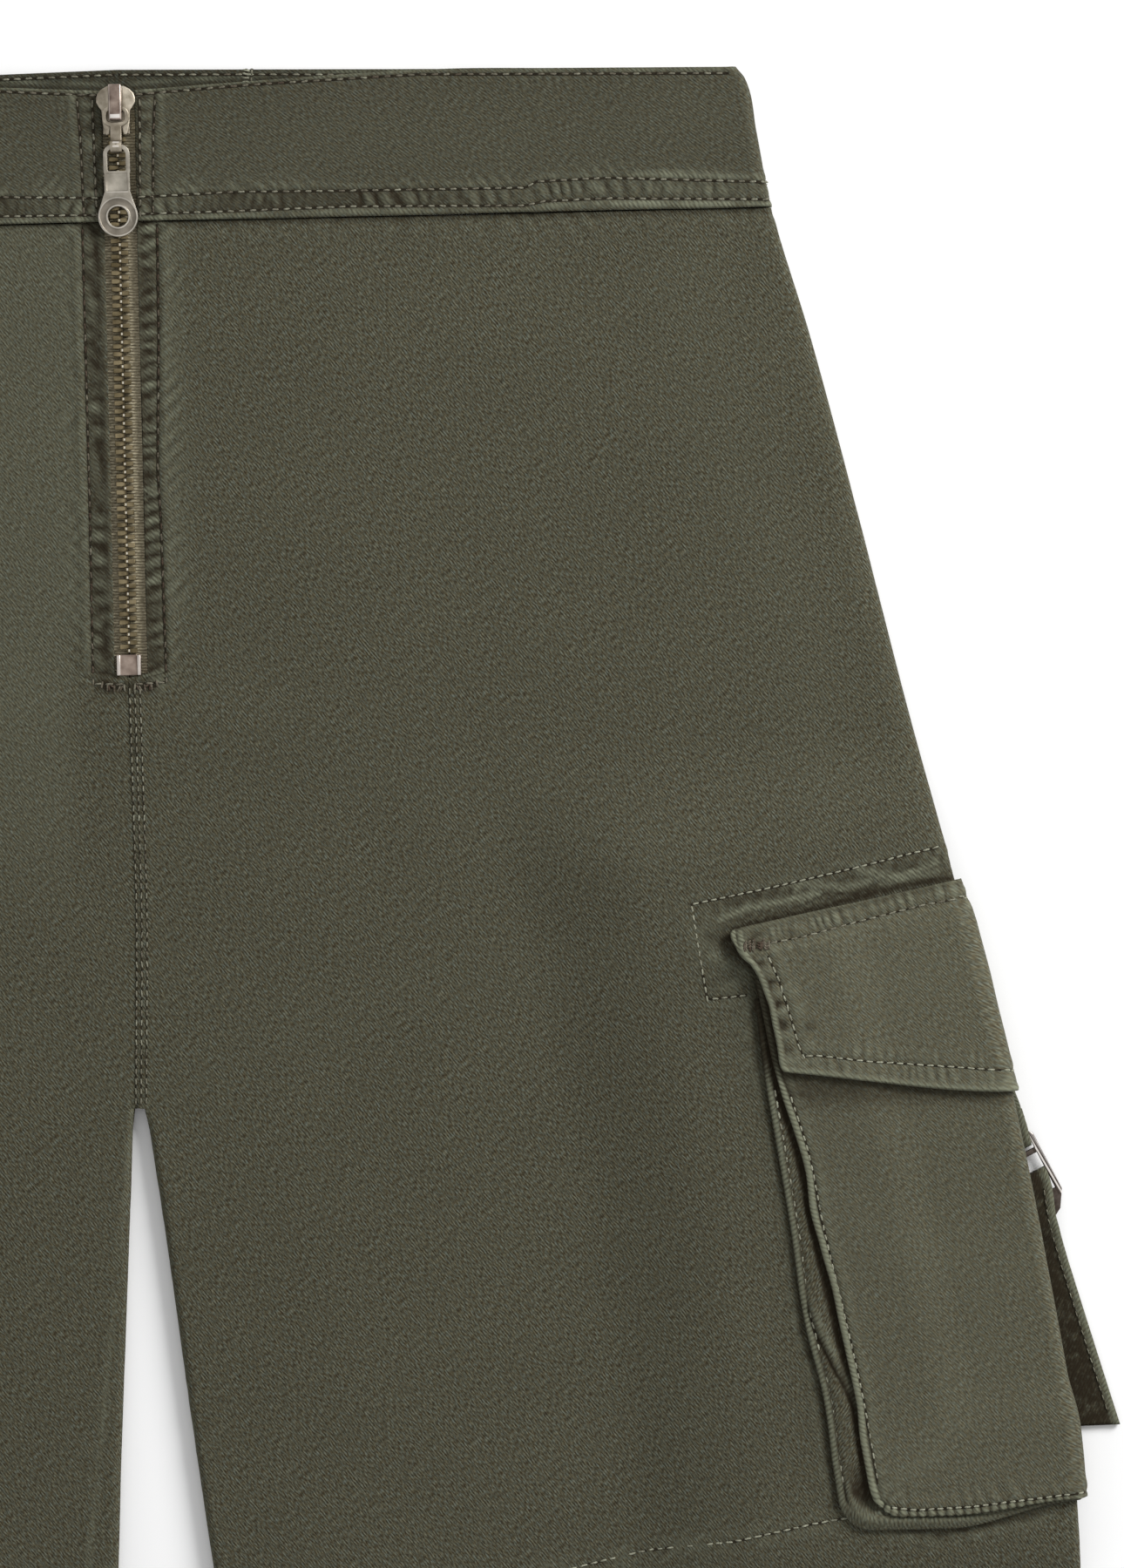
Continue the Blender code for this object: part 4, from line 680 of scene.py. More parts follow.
def rampNode(tree, factor, stops):
    node = tree.nodes.new("ShaderNodeValToRGB")
    while len(node.color_ramp.elements) < len(stops):
        node.color_ramp.elements.new(0.5)
    for element, (place, tint) in zip(node.color_ramp.elements, stops):
        element.position = place
        element.color = tint
    tree.links.new(factor, node.inputs[0])
    return node.outputs[0]


def scaledPlace(tree, place, size, turn):
    scaled = tree.nodes.new("ShaderNodeMapping")
    scaled.vector_type = "TEXTURE"
    scaled.inputs["Rotation"].default_value = (0, 0, turn)
    scaled.inputs["Scale"].default_value = (size[0], size[1], size[0])
    tree.links.new(place, scaled.inputs["Vector"])
    return scaled.outputs[0]


def noiseNode(tree, place, size, turn=0.0, detail=2.0):
    noise = tree.nodes.new("ShaderNodeTexNoise")
    noise.inputs["Scale"].default_value = 1.0
    noise.inputs["Detail"].default_value = detail
    tree.links.new(scaledPlace(tree, place, size, turn), noise.inputs["Vector"])
    return noise.outputs["Fac"]


def waveNode(tree, place, pitch, turn, distortion):
    wave = tree.nodes.new("ShaderNodeTexWave")
    wave.bands_direction = "Y"
    wave.inputs["Scale"].default_value = 0.31416  # one band for each pitch
    wave.inputs["Distortion"].default_value = distortion
    wave.inputs["Detail"].default_value = 1.0
    wave.inputs["Detail Scale"].default_value = 0.7
    tree.links.new(scaledPlace(tree, place, (pitch, pitch), turn), wave.inputs["Vector"])
    return wave.outputs["Fac"]


def bumpNode(tree, height, distance, strength=1.0, below=None):
    bump = tree.nodes.new("ShaderNodeBump")
    bump.inputs["Strength"].default_value = strength
    bump.inputs["Distance"].default_value = distance
    tree.links.new(height, bump.inputs["Height"])
    if below:
        tree.links.new(below, bump.inputs["Normal"])
    return bump.outputs[0]


def weaveTint(tree, place, flecks, rib, lightness, contrast):
    angle = cloths["weaveAngle"]
    tint = rampNode(tree, flecks, [(0.36, cloths["brown"]), (0.50, cloths["olive"]),
                                   (0.66, cloths["slate"])])
    tint = mixNode(tree, 1.0 - contrast, tint, cloths["middle"])
    hue = rampNode(tree, noiseNode(tree, place, cloths["hueSize"], angle),
                   [(0.36, cloths["warm"]), (0.64, cloths["cool"])])
    tint = mixNode(tree, 1.0, tint, hue, "MULTIPLY")
    cloudy = noiseNode(tree, place, cloths["cloudSize"], 0.3, 3.0)
    patchy = noiseNode(tree, place, cloths["patchSize"], angle, 3.0)
    ribTone = timesPlus(tree, rib, 0.50 * contrast, 1.01 - 0.25 * contrast)
    patchTone = timesPlus(tree, patchy, 0.20 * contrast, 1.0 - 0.10 * contrast)
    tone = timesPlus(tree, cloudy, 0.16 * lightness, 0.86 * lightness)
    for other in (ribTone, patchTone):
        tone = mathNode(tree, "MULTIPLY", tone, other)
    toned = tree.nodes.new("ShaderNodeVectorMath")
    toned.operation = "SCALE"
    tree.links.new(tint, toned.inputs[0])
    tree.links.new(tone, toned.inputs["Scale"])
    return toned.outputs[0]


def twillFinish(name, lightness, contrast=1.0):
    finish, tree, shader = newFinish(name, cloths["roughness"], 0.12)
    uv = tree.nodes.new("ShaderNodeUVMap")
    uv.uv_map = "cloth"
    place, angle = uv.outputs[0], cloths["weaveAngle"]
    flecks = noiseNode(tree, place, cloths["fleckSize"], angle, 3.0)
    rib = waveNode(tree, place, cloths["weavePitch"], angle, 1.6)
    tint = weaveTint(tree, place, flecks, rib, lightness, contrast)
    # the dirt mask darkens for dirt and painted shade, the wear mask pales for wear and painted
    # highlights
    for mask in ("dirtAndShade", "wearAndHighlight"):
        grain = noiseNode(tree, place, cloths[mask + "Size"], angle)
        grain = timesPlus(tree, grain, 1.7, 0.15)
        if mask == "wearAndHighlight":  # twisted threads show where the cloth is rubbed
            cord = waveNode(tree, place, cloths["cordPitch"], cloths["cordAngle"], 0.7)
            grain = mathNode(tree, "MULTIPLY", grain, timesPlus(tree, cord, 1.0, 0.50))
        share = mathNode(tree, "MULTIPLY", maskNode(tree, mask), grain, clamp=True)
        tint = mixNode(tree, share, tint, cloths[mask + "Tint"])
    tree.links.new(tint, shader.inputs["Base Color"])
    rough = timesPlus(tree, flecks, 0.12, cloths["roughness"])
    tree.links.new(rough, shader.inputs["Roughness"])
    shader.inputs["Sheen Weight"].default_value = cloths["sheen"]
    shader.inputs["Sheen Roughness"].default_value = 0.5
    rumple = bumpNode(tree, noiseNode(tree, place, cloths["rumpleSize"], angle), 0.0002, 0.15)
    weave = bumpNode(tree, mathNode(tree, "ADD", rib, flecks), 0.00012, 0.42 * contrast, rumple)
    tree.links.new(weave, shader.inputs["Normal"])
    return finish


def threadFinish():
    finish, tree, shader = newFinish("sewing_thread", 0.75, 0.12)
    place = ownPlace(tree)
    strand = noiseNode(tree, place, threads["strandSize"])
    dark, pale = [rampNode(tree, strand, threads[tint]) for tint in ("dark", "pale")]
    tree.links.new(mixNode(tree, maskNode(tree, "pale"), dark, pale), shader.inputs["Base Color"])
    twist = noiseNode(tree, place, threads["twistSize"], 0.9, 1.0)
    tree.links.new(bumpNode(tree, twist, 0.00012), shader.inputs["Normal"])
    return finish


# dark strips of painted shade under the rows
def grooveShadeFinish():
    finish, tree, shader = newFinish("needle_groove_shade", 0.9, 0.1)
    grain = noiseNode(tree, ownPlace(tree), threads["grooveSize"])
    tree.links.new(rampNode(tree, grain, threads["groove"]), shader.inputs["Base Color"])
    return finish


def tapeFinish():
    finish, tree, shader = newFinish("zip_tape_cloth", 0.85)
    place = ownPlace(tree)
    rib = waveNode(tree, place, tapes["ribPitch"], 0.0, 0.6)
    tint = rampNode(tree, noiseNode(tree, place, tapes["fleckSize"]), tapes["cotton"])
    dark = rampNode(tree, rib, tapes["between"])
    tree.links.new(mixNode(tree, 1.0, tint, dark, "MULTIPLY"), shader.inputs["Base Color"])
    tree.links.new(bumpNode(tree, rib, 0.0003), shader.inputs["Normal"])
    return finish


def within(tree, value, low, high, soft=0.00008):  # 1 between low and high, fading beyond
    off = mathNode(tree, "ABSOLUTE", mathNode(tree, "SUBTRACT", value, (low + high) / 2))
    return timesPlus(tree, off, -1.0 / soft, (high - low) / 2 / soft, True)


def markShare(tree, x, y, limits):  # 1 inside all the limits, which are in millimetres
    share = 1.0
    for across, up, low, high in limits:
        if across == "ring":
            above = mathNode(tree, "SUBTRACT", y, up * 0.001)
            squares = [mathNode(tree, "MULTIPLY", v, v) for v in (x, above)]
            value = mathNode(tree, "SQRT", mathNode(tree, "ADD", *squares))
        else:
            value = mathNode(tree, "ADD", mathNode(tree, "MULTIPLY", x, across),
                             mathNode(tree, "MULTIPLY", y, up))
        inside = within(tree, value, low * 0.001, high * 0.001)
        share = mathNode(tree, "MULTIPLY", inside, share)
    return share


def metalFinish(name, dull, bright, roughness, scratch, tips=None, marks=()):
    finish, tree, shader = newFinish(name, roughness)
    place = ownPlace(tree)
    stain = noiseNode(tree, place, (0.0034, 0.0034), 0.0, 4.0)
    tint = rampNode(tree, stain, [(0.34, dull), (0.66, bright)])
    # concave parts darkened by pointiness: painted shade in the hollows
    hollow = tree.nodes.new("ShaderNodeNewGeometry").outputs["Pointiness"]
    edge = rampNode(tree, hollow, [(0.44, (0.35, 0.31, 0.28, 1)), (0.52, (1, 1, 1, 1))])
    tint = mixNode(tree, 1.0, tint, edge, "MULTIPLY")
    apart = tree.nodes.new("ShaderNodeSeparateXYZ")
    tree.links.new(place, apart.inputs[0])
    across = mathNode(tree, "ABSOLUTE", apart.outputs[0])
    upward = mathNode(tree, "SUBTRACT", apart.outputs[1], shorts["crotchY"])
    if tips:  # painted highlight on the heads, and painted shade between them
        start, pitch, size = tips
        near = within(tree, apart.outputs[0], 0.0002 - size, 0.0002 + size, 0.0002)
        phase = timesPlus(tree, upward, 2 * math.pi / pitch, -2 * math.pi * start / pitch)
        headHighlight = timesPlus(tree, mathNode(tree, "COSINE", phase), 1.4, -0.35, True)
        for share, colour in ((0.75, (0.050, 0.038, 0.022, 1)), (headHighlight, (1.0, 0.94, 0.78, 1))):
            tint = mixNode(tree, mathNode(tree, "MULTIPLY", near, share), tint, colour)
    for strength, colour, limits in marks:
        share = mathNode(tree, "MULTIPLY", markShare(tree, across, upward, limits), strength)
        tint = mixNode(tree, share, tint, colour)
    tree.links.new(tint, shader.inputs["Base Color"])
    shader.inputs["Metallic"].default_value = 1.0
    rough = timesPlus(tree, noiseNode(tree, place, (0.0012, 0.0012), 0.0, 3.0), 0.28, roughness)
    tree.links.new(rough, shader.inputs["Roughness"])
    brushed = bumpNode(tree, noiseNode(tree, place, scratch, 0.6), 0.00005, 0.35)
    tree.links.new(brushed, shader.inputs["Normal"])
    return finish


twill = twillFinish("olive_twill", 1.01)
bandTwill = twillFinish("band_twill", 0.89, 0.80)
wornTwill = twillFinish("washed_twill", 1.20, 0.74)
flapTwill = twillFinish("flap_twill", 1.31, 0.74)
# a darker copy of the twill for the back band's inner face: painted shade
shadedTwill = twillFinish("inside_twill_shaded", 0.60, 0.80)
thread = threadFinish()
groove = grooveShadeFinish()
tapeCloth = tapeFinish()
# painted light on the metal: the dark colour is painted shade (round the pull's recesses, beside
# and below the crown, on the buckle bar's shaded side), the pale one a painted highlight, the
# grey one the buckle bar's painted lit side
paintedShade, gleam, paintedLitSide = (0.060, 0.048, 0.038, 1), (0.95, 0.90, 0.84, 1), (0.42, 0.40, 0.38, 1)
# marks: strength, colour and limits in millimetres, each of them (across, up, from, to), where
# across and up give a direction, or ("ring", height of its middle, from, to)
marks = {
    "pull": [(0.75, paintedShade, [("ring", 255.6, 3.52, 3.62)]),
             (0.65, paintedShade, [("ring", 255.6, 5.10, 5.20)]),
             (0.70, paintedShade, [(1, 0, 2.88, 2.98), (0, 1, 263.0, 268.0)]),
             (0.80, paintedShade, [(1, 0, -1, 2.98), (0, 1, 262.92, 263.06)]),
             (0.50, gleam, [(1, 0, -1, 3.2), (0, 1, 262.5, 262.75)]),
             (0.45, gleam, [("ring", 255.6, 3.05, 3.35)]),
             (0.35, gleam, [("ring", 255.6, 5.32, 5.60)])],
    "plate": [(0.75, paintedShade, [(1, 0, 1.95, 2.15), (0, 1, 284.0, 292.6)]),
              (0.80, gleam, [(1, 0, -1, 0.95), (0, 1, 276.4, 277.0)]),
              (0.85, paintedShade, [(1, 0, -1, 0.32), (0, 1, 276.0, 276.3)]),
              (0.60, gleam, [(1, 0, -1, 0.95), (0, 1, 275.2, 275.8)])],
    "crown": [(0.35, gleam, [(1, 0, 1.42, 1.72), (0, 1, 283.0, 293.2)]),
              (0.70, paintedShade, [(1, 0, 1.20, 1.30), (0, 1, 285.0, 292.6)]),
              (0.95, gleam, [(1, 0, -1, 1.45), (0, 1, 283.5, 284.7)]),
              (0.75, paintedShade, [(1, 0, -1, 1.6), (0, 1, 282.9, 283.25)]),
              (0.55, gleam, [(1, 0, 2.3, 3.4), (0, 1, 117.0, 130.0)])],
    # the buckle's side bar in three painted tones: shaded side, highlight line, lit side
    "buckle": [(0.75, paintedShade, [(0.876, 0.482, 215.7, 216.45), (0, 1, -31.0, -11.0)]),
               (0.95, gleam, [(0.876, 0.482, 216.58, 217.12), (0, 1, -31.0, -11.0)]),
               (0.60, paintedLitSide, [(0.876, 0.482, 217.4, 218.1), (0, 1, -31.0, -11.0)])],
}
nickel = metalFinish("old_nickel", (0.32, 0.292, 0.240, 1), (0.51, 0.470, 0.395, 1), 0.30,
                     (0.0022, 0.0002), marks=marks["pull"])
creamNickel = metalFinish("cream_nickel", (0.28, 0.240, 0.180, 1), (0.64, 0.575, 0.465, 1), 0.30,
                          (0.0010, 0.0004), marks=marks["plate"])
pinkNickel = metalFinish("pink_nickel", (0.19, 0.140, 0.112, 1), (0.42, 0.335, 0.280, 1), 0.22,
                         (0.0014, 0.0003), marks=marks["crown"])
brass = metalFinish("old_brass", (0.120, 0.094, 0.050, 1), (0.29, 0.236, 0.140, 1), 0.24,
                    (0.0008, 0.0003), tips=(0.1313, 0.00233, 0.00030))
bronze = metalFinish("buckle_bronze", (0.060, 0.046, 0.038, 1), (0.17, 0.140, 0.118, 1), 0.20,
                     (0.0030, 0.0003), marks=marks["buckle"])
print("finishes ready")


def pickOnly(piece):
    bpy.ops.object.select_all(action="DESELECT")
    bpy.context.view_layer.objects.active = piece
    piece.select_set(True)


def placeSheet(name, points, flat, relief, wall, finish, nodes, outward, inner=None):
    rows, columns = points.shape[:2]
    bpy.ops.object.select_all(action="DESELECT")
    bpy.ops.mesh.primitive_grid_add(x_subdivisions=columns - 1, y_subdivisions=rows - 1)
    piece = bpy.context.object
    piece.name = name
    mesh = piece.data
    mesh.name = name
    mesh.vertices.foreach_set("co", points.reshape(-1))
    while mesh.uv_layers:
        mesh.uv_layers.remove(mesh.uv_layers[0])
    uv = mesh.uv_layers.new(name="cloth")
    corners = np.zeros(len(mesh.loops), np.int32)
    mesh.loops.foreach_get("vertex_index", corners)
    uv.data.foreach_set("uv", flat.reshape(-1, 2)[corners].reshape(-1).astype(np.float32))
    for mask in ("wearAndHighlight", "dirtAndShade"):
        attribute = mesh.attributes.new(mask, "FLOAT", "POINT")
        amount = np.clip(getattr(relief, mask), 0, 1).reshape(-1)
        attribute.data.foreach_set("value", amount.astype(np.float32))
    mesh.update()
    middle = mesh.polygons[(rows // 2) * (columns - 1) + columns // 2]
    if middle.normal.dot(Vector(outward)) < 0:
        mesh.flip_normals()
    thicken = piece.modifiers.new("wall", "SOLIDIFY")
    thicken.thickness = wall
    thicken.offset = 0.0
    piece.data.materials.clear()
    piece.data.materials.append(finish)
    if inner:
        piece.data.materials.append(inner)
        thicken.material_offset = 1
    bpy.ops.object.modifier_apply(modifier="wall")
    piece.data.shade_smooth()
    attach(piece, "garment")
    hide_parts(*nodes)
    return piece


def spaced(*spans):  # (start, end, step) runs in millimetres, joined to one list in metres
    marks = []
    for start, end, step in spans:
        count = max(1, round(abs(end - start) / step))
        marks += list(np.linspace(start, end, count, endpoint=False))
    return np.array(marks + [spans[-1][1]]) * 0.001


# panels of the leg and hip
panelCut = {
    "fold": (0.0, 0.12, 0.3, 0.48, 0.66, 0.83),
    "front": {"heights": ((254.2, 240, 0.9), (240, 116, 1.25), (116, 72, 2.9), (72, 24, 1.15),
                          (24, 0.1, 3.4), (0.1, -0.1, 0.2), (-0.1, -112, 3.4),
                          (-112, -145.2, 1.4)),
              "side": ((0, 10, 2.0), (10, 74, 1.3), (74, 128, 2.9)),
              "inner": ((36, 17, 2.1), (17, 0.4, 0.62), (0.4, 0, 0.2)), "between": 10},
    "other": {"heights": ((254.2, 116, 2.3), (116, 0.1, 3.2), (0.1, -0.1, 0.2),
                          (-0.1, -112, 3.2), (-112, -145.2, 1.8)),
              "side": ((0, 128, 2.9),),
              "inner": ((36, 13, 2.6), (13, 0.4, 0.85), (0.4, 0, 0.2)), "between": 9},
}


def rowHeight(face, base, share):
    seam = (shorts["waistSeam"] if face > 0 else shorts["backSeam"]) - shorts["seamGap"]
    sideSeam = shorts["waistSeam"] - shorts["seamGap"]
    seamHere = sideSeam + (seam - sideSeam) * ramp(share, 0.35, 1.0)
    upper = base + (seamHere - sideSeam) * np.clip((base - 0.232) / (sideSeam - 0.232), 0, 1)
    hem = shorts["hemOuter"] + (shorts["hemInner"] - shorts["hemOuter"]) * share
    sink = (base - shorts["hemStart"]) / (shorts["hemOuter"] - shorts["hemStart"])
    lower = shorts["hemStart"] + (hem - shorts["hemStart"]) * sink
    return np.where(base < shorts["hemStart"], lower, upper)


def panelGrid(side, face, cut):  # across and up, with columns from the side fold inwards
    sideAt, innerAt = spaced(*cut["side"]), spaced(*cut["inner"])
    foldAt, half = np.array(panelCut["fold"]), shorts["foldGap"] / 2
    between = (np.arange(cut["between"]) + 1.0) / (cut["between"] + 1.0)
    outer = len(foldAt) + len(sideAt)
    across, heights = [], []
    for base in spaced(*cut["heights"]):
        top = rowHeight(face, base, 0.0)
        width = sideEdge(top) - innerEdge(side, face, rowHeight(face, base, 1.0))
        sideShare, innerShare = sideAt / width, 1.0 - innerAt / width
        middleShare = sideShare[-1] + (innerShare[0] - sideShare[-1]) * between
        share = np.concatenate([np.zeros(len(foldAt)), sideShare, middleShare, innerShare])
        height = rowHeight(face, base, share)
        quarter = foldRadius(top, shorts["cloth"]) * math.pi / 2
        radius = foldRadius(height[:outer], shorts["cloth"])
        quarters = radius * math.pi / 2
        along = np.concatenate([half + (quarter - half) * foldAt,
                                quarters[len(foldAt):] + sideAt])
        spread = sideEdge(height[:outer]) - radius + quarters - along
        inner = innerEdge(side, face, height[-len(innerAt):]) + innerAt
        middle = spread[-1] + (inner[0] - spread[-1]) * between
        across.append(np.concatenate([spread, middle, inner]))
        heights.append(height)
    return np.array(across), np.array(heights), outer, innerAt


def turnInside(side, face, points, flatX, height, rise, outer, innerAt):  # at the inseam
    first = flatX.shape[1] - len(innerAt)
    x, h, z = flatX[:, first:], height[:, first:], points[:, first:, 2]
    radius = foldRadius(h, shorts["cloth"])
    quarter = radius * math.pi / 2
    reach = radius - shorts["cloth"] / 2 + rise[:, first:]
    edge = innerEdge(side, face, h)
    run = innerAt + shorts["foldGap"]
    angle = np.minimum(run, quarter) / radius
    turnX = np.where(run < quarter, edge + radius - reach * np.cos(angle),
                     edge + radius + run - quarter)
    turnZ = np.where(run < quarter, radius + face * reach * np.sin(angle), z)
    turn = ramp(-h, 0.0, 0.006)  # only below the crotch
    points[:, first:, 0] = side * (x + (turnX - x) * turn)
    points[:, first:, 2] = z + (turnZ - z) * turn
    shift = points[:, first, 0] - side * flatX[:, first]
    for i in range(outer, first):  # the columns between share its small shift
        points[:, i, 0] += shift * (i - outer + 1) / (first - outer + 1)


def panelSheet(side, face, cut):
    cloth = shorts["cloth"]
    flatX, height, outer, innerAt = panelGrid(side, face, cut)
    relief = panelRelief(side, face, flatX, height)
    rise = relief.rise * 0.001
    along = alongFromEdge(height, flatX)
    points = onSide(side, face * along, height, rise - cloth / 2, cloth)
    turnInside(side, face, points, flatX, height, rise, outer, innerAt)
    flat = np.stack([side * flatX, height], -1)
    if face < 0:  # the underside lies flat
        points[..., 2] = np.maximum(points[..., 2], cloth / 2)
        flat[..., 0] += 0.7
    letter, part = letters[side], "front" if face > 0 else "back"
    piece = placeSheet(f"{part}_cloth_{letter}", points, flat, relief, cloth, twill,
                       [f"{part}_panel_{letter}"], (0, 0, face))


for face in (-1, 1):
    for side in (1, -1):
        panelSheet(side, face, panelCut["front" if (side, face) == (1, 1) else "other"])
print("panels laid")


# waistband
bandCut = {"fold": 0.12, "columns": 240, "backColumns": 150,
           "ups": ((0, 10, 0.55), (10, 36, 1.6), (36, 41, 0.7))}


def bandGrid(side, face, columns):
    wall = shorts["bandCloth"]
    shares = np.concatenate([np.linspace(0, bandCut["fold"], 9)[:-1],
                             np.linspace(bandCut["fold"], 1, columns)])
    ups = spaced(*bandCut["ups"]) / 0.041
    share, up = np.meshgrid(shares, ups)
    foot = shorts["waistSeam"]
    if face < 0:
        foot = foot + (shorts["backSeam"] - foot) * ramp(share, 0.35, 1.0)
    start = shorts["zipEdge"][side] if face > 0 else 0.0
    top = readRow(bandTop, 1 if face > 0 else 2, sideEdge(foot) * (1 - share))
    height = foot + (top - foot) * up
    radius = foldRadius(height, wall)
    quarter = radius * math.pi / 2
    half = shorts["foldGap"] / 2
    turning = half + (quarter - half) * share / bandCut["fold"]
    flatRun = (share - bandCut["fold"]) / (1 - bandCut["fold"])
    along = np.where(share <= bandCut["fold"], turning,
                     quarter + (sideEdge(height) - radius - start) * flatRun)
    spread = sideEdge(height) - radius + quarter - along
    relief = bandRelief(side, face, spread, height - np.where(face < 0, foot - 0.2545, 0.0))
    points = onSide(side, face * along, height, relief.rise * 0.001 - wall / 2, wall)
    if face < 0:
        points[..., 2] = np.maximum(points[..., 2], wall / 2)
    return points, np.stack([side * spread, height], -1), relief


def frontBand(side):
    points, flat, relief = bandGrid(side, 1, bandCut["columns"])
    flat = flat + np.array([0.0, 0.31])
    letter = letters[side]
    piece = placeSheet(f"band_front_cloth_{letter}", points, flat[..., ::-1], relief,
                       shorts["bandCloth"], bandTwill, [f"waistband_front_{letter}"],
                       (0, 0, 1))


def backBand():  # both halves in one, without the right one's doubled middle column
    left, right = [bandGrid(side, -1, bandCut["backColumns"]) for side in (1, -1)]
    points, flat = [np.concatenate([left[i], right[i][:, -2::-1]], 1) for i in (0, 1)]
    relief = left[2]
    for mask in ("rise", "wearAndHighlight", "dirtAndShade"):
        halves = getattr(relief, mask), getattr(right[2], mask)[:, -2::-1]
        setattr(relief, mask, np.concatenate(halves, 1))
    flat = flat + np.array([0.9, 0.31])
    piece = placeSheet("band_back_cloth", points, flat[..., ::-1], relief, shorts["bandCloth"],
                       bandTwill, ["waistband_back"], (0, 0, -1), shadedTwill)


for side in (1, -1):
    frontBand(side)
backBand()
print("waistband laid")


# side pockets: bellows, face and flap
pocketCut = {
    "mouth": (0.0360, 0.0480),
    "foot": (-0.1165, -0.1212, -0.1172),
    "corner": 0.0068,
    "out": 0.0009,
    "lift": (0.036, 0.021),
    "columns": {1: 96, -1: 50},
    "wobble": 0.0007,
}
bellowsCut = {  # depth, level of the foot, radius of the corner, and share and width bared there
    "deep": 0.0200,
    "foot": -0.1249,
    "corner": 0.0090,
    "cornerTop": -0.1163,
    "swell": 0.117,
    "sag": 0.0074,
    "bared": [(0.0, 0.0), (0.18, 0.0008), (0.32, 0.0020), (0.5, 0.0040), (0.78, 0.0045),
              (0.86, 0.0050)],
}
flapRows = [  # height, left edge of the flap
    (0.0474, 0.1708), (0.0450, 0.1711), (0.0408, 0.1733), (0.0375, 0.1765), (0.0285, 0.1800),
    (0.0196, 0.1823), (0.0113, 0.1834), (0.0067, 0.1850)]
flapCut = {
    "top": (0.0474, 0.0604),
    "foot": (0.0079, -0.0004),
    "corners": (0.0013, 0.0016),
    "rootOut": 0.0013,
    "clear": 0.0006,
    "columns": {1: 110, -1: 50},
    "backColumns": 34,
    "wobble": 0.0005,
}


def roundCorner(u, v, radius):  # gaps to two rims, with the corner between them rounded
    a, b = np.maximum(radius - u, 0), np.maximum(radius - v, 0)
    size = np.hypot(a, b)
    pull = np.where(size > 0, np.maximum(a, b) / np.maximum(size, 1e-9), 1.0)
    inside = (a > 0) & (b > 0)
    return np.where(inside, radius - a * pull, u), np.where(inside, radius - b * pull, v)


def pocketEdge(height, column):
    return alongFromEdge(height, readRow(pocketRows, column, height))


def faceOut(inset, aboveFoot):
    over = np.maximum(ramp(inset, *pocketCut["lift"]), ramp(aboveFoot, *pocketCut["lift"]))
    return pocketCut["out"] + (shorts["cloth"] + shorts["seamGap"]) * over


def faceFoot(share):
    corner, sag, side = pocketCut["foot"]
    low = side + (sag - side) * ramp(share, 0.0, 0.65)
    return low + (corner - low) * ramp(share, 0.86, 1.0)


def faceSheet(side):
    half = np.concatenate([[0.0, 0.012, 0.024, 0.036, 0.05],
                           np.linspace(0.064, 0.92, pocketCut["columns"][side]),
                           np.linspace(0.926, 1.0, 18)])
    shares = np.concatenate([-half[::-1][:-1], half])
    ups = np.concatenate([np.linspace(0, 0.05, 20), np.linspace(0.057, 0.80, 66),
                          np.linspace(0.83, 1, 8)])
    share, up = np.meshgrid(shares, ups)
    reach = np.abs(share)
    foot = faceFoot(np.minimum(reach, 0.86))
    mouth = pocketCut["mouth"][1] + (pocketCut["mouth"][0] - pocketCut["mouth"][1]) * reach
    above = (mouth - foot) * up
    width = pocketEdge(foot + above, 1)
    inset, above = roundCorner(width * (1 - reach), above, pocketCut["corner"])
    height = foot + above
    wobble = pocketCut["wobble"] * softNoise(height, 0.0, 0.011, 36) * ramp(reach, 0.80, 1.0)
    along = np.sign(share) * (width - inset + wobble)
    spread = alongFromEdge(height, 0.0) - np.abs(along)
    relief = faceRelief(spread, height, inset, height - foot)
    out = faceOut(inset, height - foot) + relief.rise * 0.001
    points = onSide(side, along, height, out, shorts["cloth"])
    letter = letters[side]
    flat = np.stack([0.4 - side * along, height + 0.33], -1)
    piece = placeSheet(f"pocket_face_cloth_{letter}", points, flat, relief, shorts["cloth"],
                       wornTwill, [f"pocket_face_{letter}"], (side, 0, 0))


def bellowsTrack():  # along and up at the rim, the same at the hidden edge, and the bare width
    deep, foot, corner = bellowsCut["deep"], bellowsCut["foot"], bellowsCut["corner"]
    track = []
    for height in np.linspace(0.0277, -0.1050, 44):
        outer = float(pocketEdge(height, 2))
        track.append((outer, height, outer - deep, height, outer - float(pocketEdge(height, 1))))
    outer = float(pocketEdge(bellowsCut["cornerTop"], 2))
    for angle in (8, 25, 45, 65, 82):
        turn = math.radians(angle)
        track.append((outer - corner * (1 - math.cos(turn)),
                      foot + corner * (1 - math.sin(turn)), outer - deep, foot + deep, 0.0060))
    for share in np.linspace(0.84, 0.0, 40):
        sag = bellowsCut["sag"] * float(ramp(share, 0.56, 0.0))
        bare = np.interp(share, *zip(*bellowsCut["bared"]))
        track.append((outer * share, foot + sag, (outer - deep) * share, foot + deep, bare))
    track = np.array(track)
    return np.concatenate([track, track[-2::-1] * (-1, 1, -1, 1, 1)])


